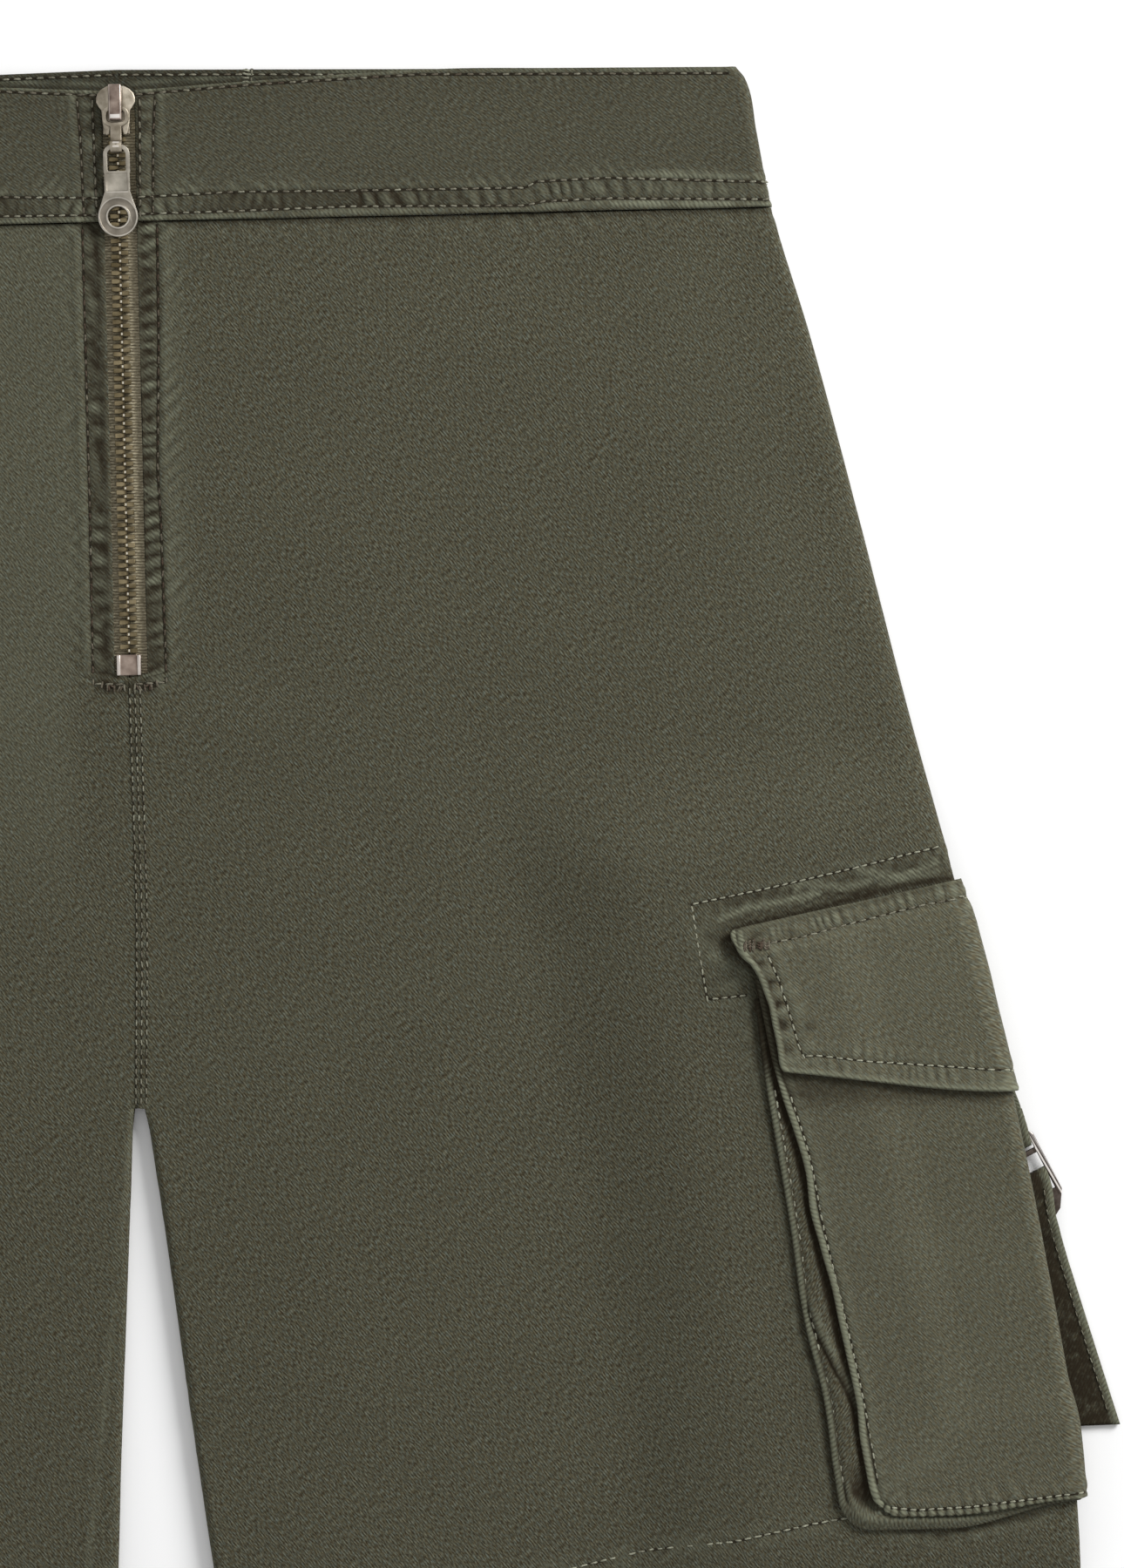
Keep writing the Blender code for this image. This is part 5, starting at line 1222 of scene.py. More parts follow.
def bellowsRelief(spread, height, gap, run, bare):  # the last three in millimetres
    relief = Relief(spread, height)
    # a twisted edge down the side, and a soft roll round the foot
    edged = ramp(height, bellowsCut["foot"] + 0.0030, bellowsCut["foot"] + 0.0110)
    shaded = ramp(height, 0.000, 0.011)
    relief.rise += edged * (0.32 * bell(gap, 0.8, 0.7) - 0.10 * bell(gap, 2.0, 0.6))
    relief.rise += (1 - edged) * 0.80 * ramp(gap, 0.4, 2.8)
    # the pale edge fades in the shaded part under the flap
    relief.wearAndHighlight += 0.85 * edged * (1 - 0.95 * shaded) * bell(gap, 0.7, 0.5)
    relief.wearAndHighlight += (1 - edged) * (0.24 * bell(gap, 1.7, 1.5) + 0.22 * ramp(gap, 1.6, 3.0))
    # painted shade along the rim and beside the rolled edge
    relief.dirtAndShade += edged * (0.8 * bell(gap, 0.0, 0.2) + 0.50 * bell(gap, 1.8, 0.5))
    # painted shadow under the flap
    relief.dirtAndShade += 1.0 * shaded
    # painted shade over the bellows, deepest in the face's shadow beside its edge
    relief.dirtAndShade += 0.10 + (0.12 + 0.88 * edged) * ramp(gap, bare - 2.1, bare - 0.7)
    relief.line("bellowsNip")
    relief.line("bellowsFold")
    wave = np.sin(run * 2 * math.pi / 5.0 + 2.4 * softNoise(run, 0, 12, 41))
    relief.rise += 0.10 * wave * ramp(gap, 0.8, 2.4) * ramp(gap, bare, bare - 1.0)
    relief.rise *= ramp(gap, bare + 0.4, bare - 0.6)
    return relief


def bellowsSheet(side):
    track, deep = bellowsTrack(), bellowsCut["deep"]
    reach = np.concatenate([np.linspace(0, 0.0075, 20), [0.010, 0.014, 0.020]])
    reach, station = np.meshgrid(reach, np.arange(len(track)), indexing="ij")
    t = track[station]
    along = t[..., 0] + (t[..., 2] - t[..., 0]) * reach / deep
    height = t[..., 1] + (t[..., 3] - t[..., 1]) * reach / deep
    bare = np.maximum(t[..., 4] - 0.0010, deep * 0.05)
    run = np.concatenate([[0], np.cumsum(np.hypot(*np.diff(track[:, :2], axis=0).T))])[station]
    spread = alongFromEdge(height, 0.0) - np.abs(along)
    relief = bellowsRelief(spread, height, reach * 1000, run * 1000, bare * 1000)
    hump = np.where(reach < bare, np.sin(np.pi * np.clip(reach / bare, 0, 1)), 0.0)
    out = shorts["seamGap"] + shorts["cloth"] / 2
    out = out + relief.rise * 0.001 + bellowsCut["swell"] * bare * hump
    points = onSide(side, along, height, out, shorts["cloth"])
    letter = letters[side]
    flat = np.stack([side * run + 0.4, reach + 0.6], -1)
    piece = placeSheet(f"pocket_bellows_cloth_{letter}", points, flat[..., ::-1], relief,
                       shorts["cloth"], twill, [f"pocket_gusset_{letter}"],
                       (0, 0, 1))


def flapEnds(reach):  # heights of the flap's upper edge and foot
    (topSide, topFold), (footSide, footFold) = flapCut["top"], flapCut["foot"]
    return (topFold + (topSide - topFold) * reach,
            footFold + (footSide - footFold) * ramp(reach, 0, 1.3))


def flapGrid(side):
    back, front = [np.concatenate([[0.0, 0.016, 0.03, 0.045, 0.06],
                                   np.linspace(0.08, 0.90, columns),
                                   np.linspace(0.91, 1.0, 14)])
                   for columns in (flapCut["backColumns"], flapCut["columns"][side])]
    shares = np.concatenate([-back[::-1][:-1], front])
    downs = np.concatenate([np.linspace(0, 0.26, 18), np.linspace(0.29, 0.86, 22),
                            np.linspace(0.875, 1, 12)])
    share, down = np.meshgrid(shares, downs)
    reach = np.abs(share)
    top, foot = flapEnds(reach)
    corner = flapCut["top"][0] + (flapCut["foot"][0] - flapCut["top"][0]) * down
    width = alongFromEdge(corner, readRow(flapRows, 1, corner))
    low, high = flapCut["corners"]
    inset, above = roundCorner(width * (1 - reach), (top - foot) * (1 - down), low)
    inset, below = roundCorner(inset, top - foot - above, high)
    height = top - below
    wobble = flapCut["wobble"] * softNoise(height, 0.0, 0.0065, 37) * ramp(reach, 0.84, 1.0)
    along = np.sign(share) * (width - inset + wobble)
    return along, height, inset, height - foot, down


def flapOut(along, height, down):
    inset = np.maximum(0.0, pocketEdge(height, 1) - np.abs(along))
    deep = pocketCut["mouth"][0] - pocketCut["foot"][0]
    top = faceOut(inset, deep) + shorts["cloth"] + flapCut["clear"]
    return flapCut["rootOut"] + (top - flapCut["rootOut"]) * ramp(down, 0.0, 0.22)


def flapSheet(side):
    along, height, inset, aboveFoot, down = flapGrid(side)
    spread = alongFromEdge(height, 0.0) - np.abs(along)
    relief = flapRelief(spread, height, inset, aboveFoot)
    relief.rise *= ramp(down, -0.02, 0.06)
    relief.dirtAndShade += 0.5 * ramp(down, 0.05, 0.0)
    out = flapOut(along, height, down) + relief.rise * 0.001
    points = onSide(side, along, height, out, shorts["cloth"])
    letter = letters[side]
    flat = np.stack([0.4 - side * along, height + 0.55], -1)
    piece = placeSheet(f"pocket_flap_cloth_{letter}", points, flat, relief, shorts["cloth"],
                       flapTwill, [f"pocket_flap_{letter}"], (side * 0.3, 0, 1))


for side in (1, -1):
    bellowsSheet(side)
    faceSheet(side)
    flapSheet(side)
print("pockets laid")


# strap and tab: height, outer edge, level and slant in degrees at stations along each
trims = {
    "strap": [(-0.0977, 0.2796, 0.0005, 1), (-0.0800, 0.2744, 0.0005, 3),
              (-0.0642, 0.2698, 0.0005, 6), (-0.0500, 0.2657, 0.0005, 10),
              (-0.0440, 0.2641, 0.0010, 12), (-0.0400, 0.2631, 0.0024, 15),
              (-0.0371, 0.2623, 0.0031, 18), (-0.0294, 0.2615, 0.0031, 24),
              (-0.0262, 0.2608, 0.0031, 26), (-0.0239, 0.2600, 0.0028, 26),
              (-0.0230, 0.2597, 0.0018, 26), (-0.0239, 0.2600, 0.0008, 26),
              (-0.0262, 0.2606, 0.0005, 26), (-0.0330, 0.2612, 0.0005, 20),
              (-0.0380, 0.2618, 0.0005, 18)],
    "tab": [(0.0075, 0.2488, 0.0012, 18), (0.0010, 0.2508, 0.0012, 20),
            (-0.0050, 0.2530, 0.0006, 24), (-0.0120, 0.2549, 0.0005, 26),
            (-0.0150, 0.2555, 0.0005, 26), (-0.0159, 0.2557, 0.0009, 26),
            (-0.0163, 0.2558, 0.0018, 26), (-0.0159, 0.2557, 0.0027, 26),
            (-0.0150, 0.2555, 0.0031, 26), (-0.0110, 0.2546, 0.0031, 26),
            (-0.0060, 0.2532, 0.0031, 24)],
    "cut": {"strap": (0.0215, 0.088, 0.0018), "tab": (0.0200, 0.044, 0.0008)},
    "steps": {"strap": 90, "tab": 60},
}


def trimGrid(kind, side):
    table = np.array(trims[kind])
    run = np.concatenate([[0], np.cumsum(np.linalg.norm(np.diff(table[:, :3], axis=0), axis=1))])
    t = np.linspace(0, run[-1], trims["steps"][kind])
    height, out, level, slant = [np.interp(t, run, table[:, i]) for i in range(4)]
    slant = np.radians(slant)
    share = np.concatenate([np.linspace(0, 0.16, 9), np.linspace(0.22, 0.84, 10),
                            np.linspace(0.88, 1, 8)])
    width = trims["cut"][kind][0]
    s, k = np.meshgrid(share, np.arange(len(t)), indexing="ij")
    x = out[k] - width * s * np.cos(slant[k])
    y = height[k] - width * s * np.sin(slant[k])
    # the strip turns over at one end, and its relief goes with its visible side
    change = np.gradient(level, t)
    if kind == "strap":
        upward = np.where(t < t[np.argmin(change)], 1.0, -1.0)
    else:
        upward = np.where(t > t[np.argmax(change)], 1.0, -1.0)
    relief = Relief(x, y)
    gap = np.minimum(s, 1 - s) * width * 1000
    wave = np.sin(t[k] * 1000 * 2 * math.pi / 3.4 + 2 * softNoise(t[k], 0, 0.006, 51))
    relief.rise += 0.16 * bell(gap, 0.9, 0.8) + 0.05 * wave * bell(gap, 3.2, 2.6)
    relief.rise += 0.22 * softNoise(x, y, 0.0042, 53) * ramp(gap, 2.6, 4.2)
    relief.wearAndHighlight += 0.55 * bell(gap, 0.6, 0.6) + 0.18 * bell(gap, 1.6, 1.0)
    # painted shadow: a dark line inside the stitching and the strap's shaded inner part, mottled,
    # lighter on the tab; painted shade in the wave's hollows
    mottled = np.clip(0.78 + 0.60 * softNoise(x, y, 0.0030, 52), 0.1, 1.0)
    deep = 1.60 if kind == "strap" else 0.70
    relief.dirtAndShade += 0.70 * bell(gap, 2.7, 0.6) + deep * ramp(gap, 2.2, 3.4) * mottled
    relief.dirtAndShade += 0.25 * np.maximum(-wave, 0) * bell(gap, 3.5, 2.5)
    z = level[k] + relief.rise * 0.001 * upward[k]
    z = np.maximum(z, shorts["trimCloth"] / 2)
    return placed(side, x, y, z), np.stack([side * s * width + 0.6, t[k] + 0.2], -1), relief


for kind in ("strap", "tab"):
    for side, letter in letters.items():
        points, flat, relief = trimGrid(kind, side)
        node = f"pocket_strap_{letter}" if kind == "strap" else f"flap_tab_{letter}"
        piece = placeSheet(f"{kind}_cloth_{letter}", points, flat, relief, shorts["trimCloth"],
                           twill, [node], (0, 0, 1))
print("straps laid")


# stitches, modelled once and set along every row
stitchCut = {"long": 0.0024, "wide": 0.00062, "high": 0.00044, "pitch": 0.0034,
             "probe": 0.0008}


def oneStitch():
    bpy.ops.object.select_all(action="DESELECT")
    bpy.ops.mesh.primitive_cylinder_add(vertices=6, radius=0.5, depth=1.0, rotation=(
        0, math.pi / 2, 0))
    master = bpy.context.object
    bpy.ops.object.transform_apply(location=True, rotation=True, scale=True)
    bpy.ops.object.mode_set(mode="EDIT")
    bpy.ops.mesh.select_all(action="SELECT")
    bpy.ops.mesh.bisect(plane_co=(0.26, 0, 0), plane_no=(1, 0, 0))
    bpy.ops.mesh.select_all(action="SELECT")
    bpy.ops.mesh.bisect(plane_co=(-0.26, 0, 0), plane_no=(1, 0, 0))
    bpy.ops.mesh.select_all(action="SELECT")
    bpy.ops.mesh.quads_convert_to_tris()
    bpy.ops.object.mode_set(mode="OBJECT")
    mesh = master.data
    points = np.array([v.co for v in mesh.vertices])
    ends = np.abs(points[:, 0]) > 0.4
    points[ends, 1:] *= 0.35
    points[ends, 2] -= 0.45
    faces = np.array([list(p.vertices) for p in mesh.polygons])
    bpy.data.objects.remove(master)
    return points * np.array([stitchCut["long"], stitchCut["wide"], stitchCut["high"]]), faces


def alongLine(points, pitch, start=0.0):  # centres and directions at equal steps, metres
    line = np.array(points, float) * 0.001
    run = np.concatenate([[0], np.cumsum(np.hypot(*np.diff(line, axis=0).T))])
    t = np.arange(pitch / 2 + start, run[-1], pitch)
    place, ahead, behind = [np.stack([np.interp(at, run, line[:, i]) for i in (0, 1)], -1)
                            for at in (t, t + 0.0002, t - 0.0002)]
    return place, unit(ahead - behind)


stitchPoints, stitchFaces = oneStitch()
sewn = {"place": [], "axes": [], "pale": []}
grooveShades = {"points": [], "faces": []}


def leftOf(direction):
    return np.stack([-direction[:, 1], direction[:, 0]], -1)


def unit(vectors):
    return vectors / np.linalg.norm(vectors, axis=1, keepdims=True)


def offsetLine(points, gap):  # a line moved to its left by gap millimetres
    line = np.array(points, float)
    return line + gap * leftOf(unit(np.gradient(line, axis=0)))


def paintGrooveShade(points, surface, band):  # a dark strip of painted shade in the trench that a row is pulled into
    line, way = alongLine(points, 0.0015, -0.0007)
    sides = line + leftOf(way) * band / 2, line - leftOf(way) * band / 2
    edge = np.concatenate([surface(q[:, 0], q[:, 1], 0.00007) for q in sides])
    n = len(line)
    outward = surface(line[:1, 0], line[:1, 1], 0.001) - surface(line[:1, 0], line[:1, 1])
    normal = np.cross(edge[1] - edge[0], edge[n] - edge[0])
    flip = float(np.dot(normal, outward[0])) < 0
    first = sum(len(q) for q in grooveShades["points"])
    for i in range(n - 1):
        quad = [i, i + 1, n + i + 1, n + i]
        grooveShades["faces"].append([first + q for q in (quad if flip else quad[::-1])])
    grooveShades["points"].append(edge)


def sewRow(points, surface, pitch=stitchCut["pitch"], seed=0, band=0.00075, across=False,
           pale=0.8, size=(1.0, 1.0), rough=0.0):
    place, direction = alongLine(points, pitch)
    dice = np.random.default_rng(seed + len(place))
    turn = dice.normal(0, 0.07 + 0.5 * rough, len(place))[:, None]
    place = place + dice.normal(0, 0.0004, place.shape) * rough
    direction = direction * np.cos(turn) + leftOf(direction) * np.sin(turn)
    if across:
        direction = leftOf(direction)
    ahead, aside = direction * stitchCut["probe"], leftOf(direction) * stitchCut["probe"]
    here, a, b, c = [surface(q[:, 0], q[:, 1])
                     for q in (place, place + ahead, place - ahead, place + aside)]
    x = unit(a - b)
    z = unit(np.cross(x, c - here))
    out = surface(place[:, 0], place[:, 1], 0.001) - here
    z *= np.where((z * out).sum(1) < 0, -1.0, 1.0)[:, None]
    y = np.cross(z, x)
    sewn["pale"].append(np.clip(pale + dice.normal(0, 0.12, len(place)), 0, 1))
    sewn["place"].append(here + out * 0.10)
    sewn["axes"].append(np.stack([x * size[0], y * size[1], z], 1))
    paintGrooveShade(points, surface, band)


def meshFrom(name, points, faces, finish):
    mesh = bpy.data.meshes.new(name)
    mesh.from_pydata(np.asarray(points).tolist(), [], np.asarray(faces).tolist())
    mesh.update()
    piece = bpy.data.objects.new(name, mesh)
    bpy.context.scene.collection.objects.link(piece)
    mesh.materials.append(finish)
    mesh.shade_smooth()
    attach(piece, "garment")
    return piece


def onCloth(side, face, reliefOf, wall):  # the outside of a panel or of the band
    def at(x, h, lift=0.0):
        rise = reliefOf(side, face, x, h).rise * 0.001
        z = clothLevel(face, x, h, wall) + face * rise
        return placed(side, x, h, np.maximum(z, 0.0) + face * lift)
    return at


def onPocket(side, face, kind):  # the outside of its face, flap or bellows
    def at(x, h, lift=0.0):
        along = alongFromEdge(h, x)
        if kind == "face":
            width = pocketEdge(h, 1)
            foot = faceFoot(np.clip(along / width, 0, 0.86))
            rise = faceRelief(x, h, width - along, h - foot).rise
            out = faceOut(width - along, h - foot)
        elif kind == "flap":
            width = alongFromEdge(h, readRow(flapRows, 1, h))
            top, foot = flapEnds(np.clip(along / width, 0, 1))
            down = np.clip((h - top) / (foot - top), 0, 1)
            rise = flapRelief(x, h, width - along, h - foot).rise * ramp(down, -0.02, 0.06)
            out = flapOut(along, h, down)
        else:
            rise = np.zeros(np.shape(x))
            out = shorts["seamGap"] + shorts["cloth"] / 2 + 0.0003
        lifted = out + shorts["cloth"] / 2 + rise * 0.001 + lift
        return onSide(side, face * along, h, lifted, shorts["cloth"])
    return at


def insideBand(side):  # the back band's inner face, which shows above the front band
    def at(x, h, lift=0.0):
        z = clothLevel(-1, x, h, shorts["bandCloth"]) + shorts["bandCloth"] + lift
        return placed(side, x, h, z)
    return at


strapAt, strapEdge, strapLevel = np.array(trims["strap"][:9])[:, :3].T  # below the buckle


def onStrap(side):
    def at(x, h, lift=0.0):
        z = np.interp(h, strapAt, strapLevel) + lift
        return placed(side, x, h, z + shorts["trimCloth"] * 0.6)
    return at


def edgeRow(column, gap, top):  # a row beside the edge of the pocket's face or bellows
    return [(float(readRow(pocketRows, column, h)) * 1000 + gap, h * 1000)
            for h in np.linspace(top, -0.112, 24)]


def sewPanel(side, face):
    panel = onCloth(side, face, panelRelief, shorts["cloth"])
    band = onCloth(side, face, bandRelief, shorts["bandCloth"])
    if side > 0:  # both centre seams are sewn on the left panels
        centre = sewing["centre" if face > 0 else "centreBack"]
        for gap in (1.5, 0.0, -1.5) if face > 0 else (1.5, -0.4):
            sewRow(offsetLine(centre, gap), panel, 0.0028, seed=3, pale=0.52,
                   band=0.00040, size=(0.90, 0.64))
    if face > 0:
        fly = sewing["flyLeft" if side > 0 else "flyRight"]
        sewRow(fly, panel, seed=4, pale=0.12)
        sewRow([(10.4, 122), (1.2, 121.6)], panel, 0.0030, seed=5, pale=0.3)
        sewRow(sewing["facing"], panel, 0.0026, seed=6, pale=0.95, size=(0.92, 0.9))
    sewRow(sewing["hem"], panel, 0.0028, seed=7, pale=0.98, size=(1.0, 0.95))
    sewRow(sewing["bandFoot"], band, 0.0032, seed=8, pale=0.5)
    sewRow(sewing["bandUpper"], band, 0.0032, seed=9, pale=0.5)
    sewRow(sewing["bandTop"], band, 0.0034, seed=10, pale=0.30)
    if face > 0:
        sewRow([(11.2, 290), (10.4, 278), (9.9, 256)], band, seed=11, pale=0.25)
        sewRow([(6.8, 290), (6.2, 256)], band, 0.0032, seed=16, pale=0.35)
        sewRow([(7.6, 121.0), (1.0, 120.4)], panel, 0.0008, seed=17, across=True,
               pale=0.22, rough=0.8)  # bar tack below the zip


def sewPocket(side, face):
    cover, flap, bellows = [onPocket(side, face, kind) for kind in ("face", "flap", "bellows")]
    if face > 0:
        for lift in (0.0, 0.7, -0.7):  # bar tack at the flap's corner
            sewRow([(173.9, 42.8 + lift), (181.2, 43.1 + lift)], flap, 0.0005, seed=18,
                   across=True, band=0.0003, pale=0.10, size=(0.62, 0.95), rough=1.1)
    for line, pale in (("flapStitch", 0.55), ("flapSide", 1.0), ("flapLow", 1.0)):
        sewRow(sewing[line], flap, 0.0029, seed=12, pale=pale, band=0.00055, size=(1.0, 0.85))
    sewRow(edgeRow(1, 2.1, 0.0), cover, 0.0029, seed=13, pale=0.85, size=(0.95, 0.9))
    low = [(x, y + 1.7) for x, y in sewing["beads"][1:]]
    sewRow(low, cover, 0.0026, seed=14, pale=0.95, size=(0.9, 1.0))
    sewRow(edgeRow(2, 2.0, 0.002), bellows, 0.0032, seed=15, pale=0.75)


def sewInside():  # along the back band, with two short rows across it
    for side, seed in ((1, 20), (-1, 21)):
        sewRow([(0.5, 297.0), (40, 296.2), (78, 295.2)], insideBand(side), 0.0033, seed=seed,
               pale=0.5)
    sewRow([(37.4, 298.0), (37.0, 293.6)], insideBand(1), 0.0011, seed=22, pale=0.9, across=True)
    sewRow([(39.0, 298.0), (38.6, 293.6)], insideBand(1), 0.0024, seed=23, pale=0.5)


def sewStrap(side):
    inset = [(float(np.interp(h, strapAt, strapEdge)) * 1000 - 2.4, h * 1000)
             for h in np.linspace(-0.0290, -0.0950, 16)]
    sewRow(inset, onStrap(side), 0.0028, seed=24, pale=0.50, band=0.00035, size=(0.80, 0.50))


for side in (1, -1):
    for face in (1, -1):
        sewPanel(side, face)
        sewPocket(side, face)
sewInside()
for side in (1, -1):
    sewStrap(side)

place, axes = np.concatenate(sewn["place"]), np.concatenate(sewn["axes"])
count = len(place)
points = place[:, None, :] + np.einsum("vi,nij->nvj", stitchPoints, axes)
faces = stitchFaces[None] + (np.arange(count) * len(stitchPoints))[:, None, None]
stitches = meshFrom("stitches", points.reshape(-1, 3), faces.reshape(-1, 3), thread)
tone = stitches.data.attributes.new("pale", "FLOAT", "POINT")
tone.data.foreach_set("value", np.repeat(np.concatenate(sewn["pale"]), len(stitchPoints)).astype(
    np.float32))
meshFrom("needle_groove_shades", np.concatenate(grooveShades["points"]), grooveShades["faces"], groove)
print("stitches sewn:", count, "with", len(stitchFaces), "triangles each")


# zip: ribbed tapes and interlocking teeth
zipCut = {"foot": 0.1305, "head": 0.2860, "pitch": 0.00233, "toothLong": 0.0029,
          "toothWide": 0.00140, "toothHigh": 0.0016, "overlap": 0.0004,
          "bodyShare": 0.62, "neckShare": 0.16, "neckSize": (1, 0.72, 0.86),
          "headShare": 0.22, "headSize": (1, 1.30, 1.0), "rounding": 0.00014,
          "ribPitch": 0.0012, "tapeCloth": 0.0008}
bed = shorts["cloth"] + float(insideRoom(0.28)) - shorts["seamGap"]


def tapeSheet(side):
    letter = letters[side]
    x = np.linspace(shorts["seamGap"] / 2, 0.0120, 26)
    h = spaced((119.0, 291.0, 1.1))
    across, height = np.meshgrid(x, h)
    relief = Relief(across, height)
    z = bed - zipCut["tapeCloth"] / 2
    z = z + 0.00005 * np.sin(across * 2 * math.pi / zipCut["ribPitch"])
    z = z + 0.00004 * softNoise(across, height, 0.005, 61)
    points = placed(side, across, height, z)
    piece = placeSheet(f"zip_tape_cloth_{letter}", points, np.stack([across, height], -1),
                       relief, zipCut["tapeCloth"], tapeCloth,
                       [f"zip_tape_{letter}"], (0, 0, 1))


def toothMaster():
    long = zipCut["toothLong"]
    bpy.ops.object.select_all(action="DESELECT")
    bpy.ops.mesh.primitive_cube_add(size=1.0)
    tooth = bpy.context.object
    tooth.scale = (long * zipCut["bodyShare"], zipCut["toothWide"], zipCut["toothHigh"])
    bpy.ops.object.transform_apply(location=True, rotation=True, scale=True)
    bpy.ops.object.mode_set(mode="EDIT")
    bpy.ops.mesh.select_all(action="DESELECT")
    bpy.ops.object.mode_set(mode="OBJECT")
    for face in tooth.data.polygons:
        face.select = face.normal.x < -0.9  # the head, towards the other row
    bpy.ops.object.mode_set(mode="EDIT")
    for part in ("neck", "head"):
        bpy.ops.mesh.extrude_region_move(TRANSFORM_OT_translate={
            "value": (-long * zipCut[part + "Share"], 0, 0)})
        bpy.ops.transform.resize(value=zipCut[part + "Size"])
    bpy.ops.mesh.select_all(action="SELECT")
    bpy.ops.mesh.bevel(offset=zipCut["rounding"], segments=1, affect="EDGES")
    bpy.ops.mesh.quads_convert_to_tris()
    bpy.ops.object.mode_set(mode="OBJECT")
    points = np.array([v.co for v in tooth.data.vertices])
    faces = np.array([list(p.vertices) for p in tooth.data.polygons])
    bpy.data.objects.remove(tooth)
    points[:, 0] -= points[:, 0].min()
    return points, faces


def zipTeeth():
    points, faces = toothMaster()
    allPoints, allFaces = [], []
    level = bed + 0.0003 + zipCut["toothHigh"] / 2
    dice = np.random.default_rng(7)
    first = 0
    for side in (1, -1):
        shift = 0.0 if side > 0 else zipCut["pitch"] / 2
        for h in np.arange(zipCut["foot"] + 0.0008 + shift, zipCut["head"] - 0.0004,
                           zipCut["pitch"]):
            tooth = points.copy()
            tooth[:, 0] = side * (tooth[:, 0] - zipCut["overlap"])
            turn = dice.normal(0, 0.02)
            tooth[:, 1] += tooth[:, 0] * turn + h + shorts["crotchY"]
            tooth[:, 2] += level + dice.normal(0, 0.00003)
            allPoints.append(tooth)
            allFaces.append((faces if side > 0 else faces[:, ::-1]) + first)
            first += len(tooth)
    piece = meshFrom("zip_teeth", np.concatenate(allPoints), np.concatenate(allFaces), brass)
    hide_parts("zip_chain")
    pickOnly(piece)
    bpy.ops.object.shade_smooth_by_angle(angle=math.radians(35))


for side in (1, -1):
    tapeSheet(side)
zipTeeth()


def finishMetal(piece, width, finish, body):
    pickOnly(piece)
    piece.data.materials.append(finish)
    rounding = piece.modifiers.new("rounding", "BEVEL")
    rounding.width = width
    rounding.segments = 3
    rounding.limit_method = "ANGLE"
    rounding.angle_limit = math.radians(32)
    bpy.ops.object.modifier_apply(modifier="rounding")
    bpy.ops.object.shade_smooth_by_angle(angle=math.radians(40))
    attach(piece, body)


def roundedCopy(node, name, width, finish, body):  # a CAD part with its edges rounded
    piece = bpy.data.objects.new(name, frame["nodes"][node].data.copy())
    bpy.context.scene.collection.objects.link(piece)
    pickOnly(piece)
    piece.data.materials.clear()
    bpy.ops.object.mode_set(mode="EDIT")
    bpy.ops.mesh.select_all(action="SELECT")
    bpy.ops.mesh.remove_doubles(threshold=0.00001)
    bpy.ops.mesh.dissolve_limited(angle_limit=math.radians(1.5))
    bpy.ops.object.mode_set(mode="OBJECT")
    finishMetal(piece, width, finish, body)
    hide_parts(node)


def platePiece(name, outline, low, high, cutters=()):  # millimetres, low and high levels
    bpy.ops.object.select_all(action="DESELECT")
    bpy.ops.mesh.primitive_circle_add(vertices=len(outline), fill_type="NGON")
    piece = bpy.context.object
    piece.name = name
    piece.data.name = name
    for vertex, (x, y) in zip(piece.data.vertices, outline):
        vertex.co = (x * 0.001, y * 0.001 + shorts["crotchY"], low * 0.001)
    bpy.ops.object.mode_set(mode="EDIT")
    bpy.ops.mesh.select_all(action="SELECT")
    bpy.ops.mesh.extrude_region_move(TRANSFORM_OT_translate={
        "value": (0, 0, (high - low) * 0.001)})
    bpy.ops.mesh.select_all(action="SELECT")
    bpy.ops.mesh.normals_make_consistent(inside=False)
    bpy.ops.object.mode_set(mode="OBJECT")
    for cutter in cutters:
        cut = piece.modifiers.new("cut", "BOOLEAN")
        cut.operation = "DIFFERENCE"
        cut.solver = "EXACT"
        cut.object = cutter
        pickOnly(piece)
        bpy.ops.object.modifier_apply(modifier="cut")
        bpy.data.objects.remove(cutter)
    return piece


def mirroredOutline(right):  # the right half from its upper point to its lower one
    return right + [(-x, y) for x, y in reversed(right) if abs(x) > 1e-6]


def arcPoints(centre, radius, start, end, steps):
    return [(centre[0] + radius * math.cos(math.radians(start + (end - start) * i / steps)),
             centre[1] + radius * math.sin(math.radians(start + (end - start) * i / steps)))
            for i in range(steps + 1)]


# millimetres across and up from the crotch, and levels above the table; what hangs on the
# pull's axis is measured from it
zipMetal = {
    "plate": [(0, 293.2), (2.4, 293.1), (4.1, 292.2), (5.2, 291.0), (5.6, 289.7), (5.6, 288.5),
              (4.9, 287.2), (4.15, 286.2), (4.0, 284.6), (3.95, 283.0), (3.6, 281.0),
              (3.3, 279.6), (2.9, 279.1), (1.95, 279.2), (1.6, 281.3), (0, 281.6)],
    "plateLevel": (6.2, 7.3),
    "flange": (3.2, 3.8, 279.4, 286.0, 4.25, 6.4),
    "crown": (1.9, 282.9, 293.3, 9.45, 10.4),
    "crownLegs": ((283.1, 284.0), (291.9, 292.8)),
    "pullAxis": 275.6, "pullLevel": 8.4, "pullSlope": 0.0594, "pullThick": 1.3,
    "frame": (3.8, 2.9, 0.65, -7.2), "window": (2.65, 1.7, -0.65, -7.0, 0.4),
    "panel": (2.95, -7.6, -12.6), "shoulder": -7.7, "waist": (3.65, -12.9),
    "tangent": (5.48, -18.4), "disc": (-20.0, 5.7, 2.95), "ring": (3.55, 5.15),
    "recess": 0.16,
}


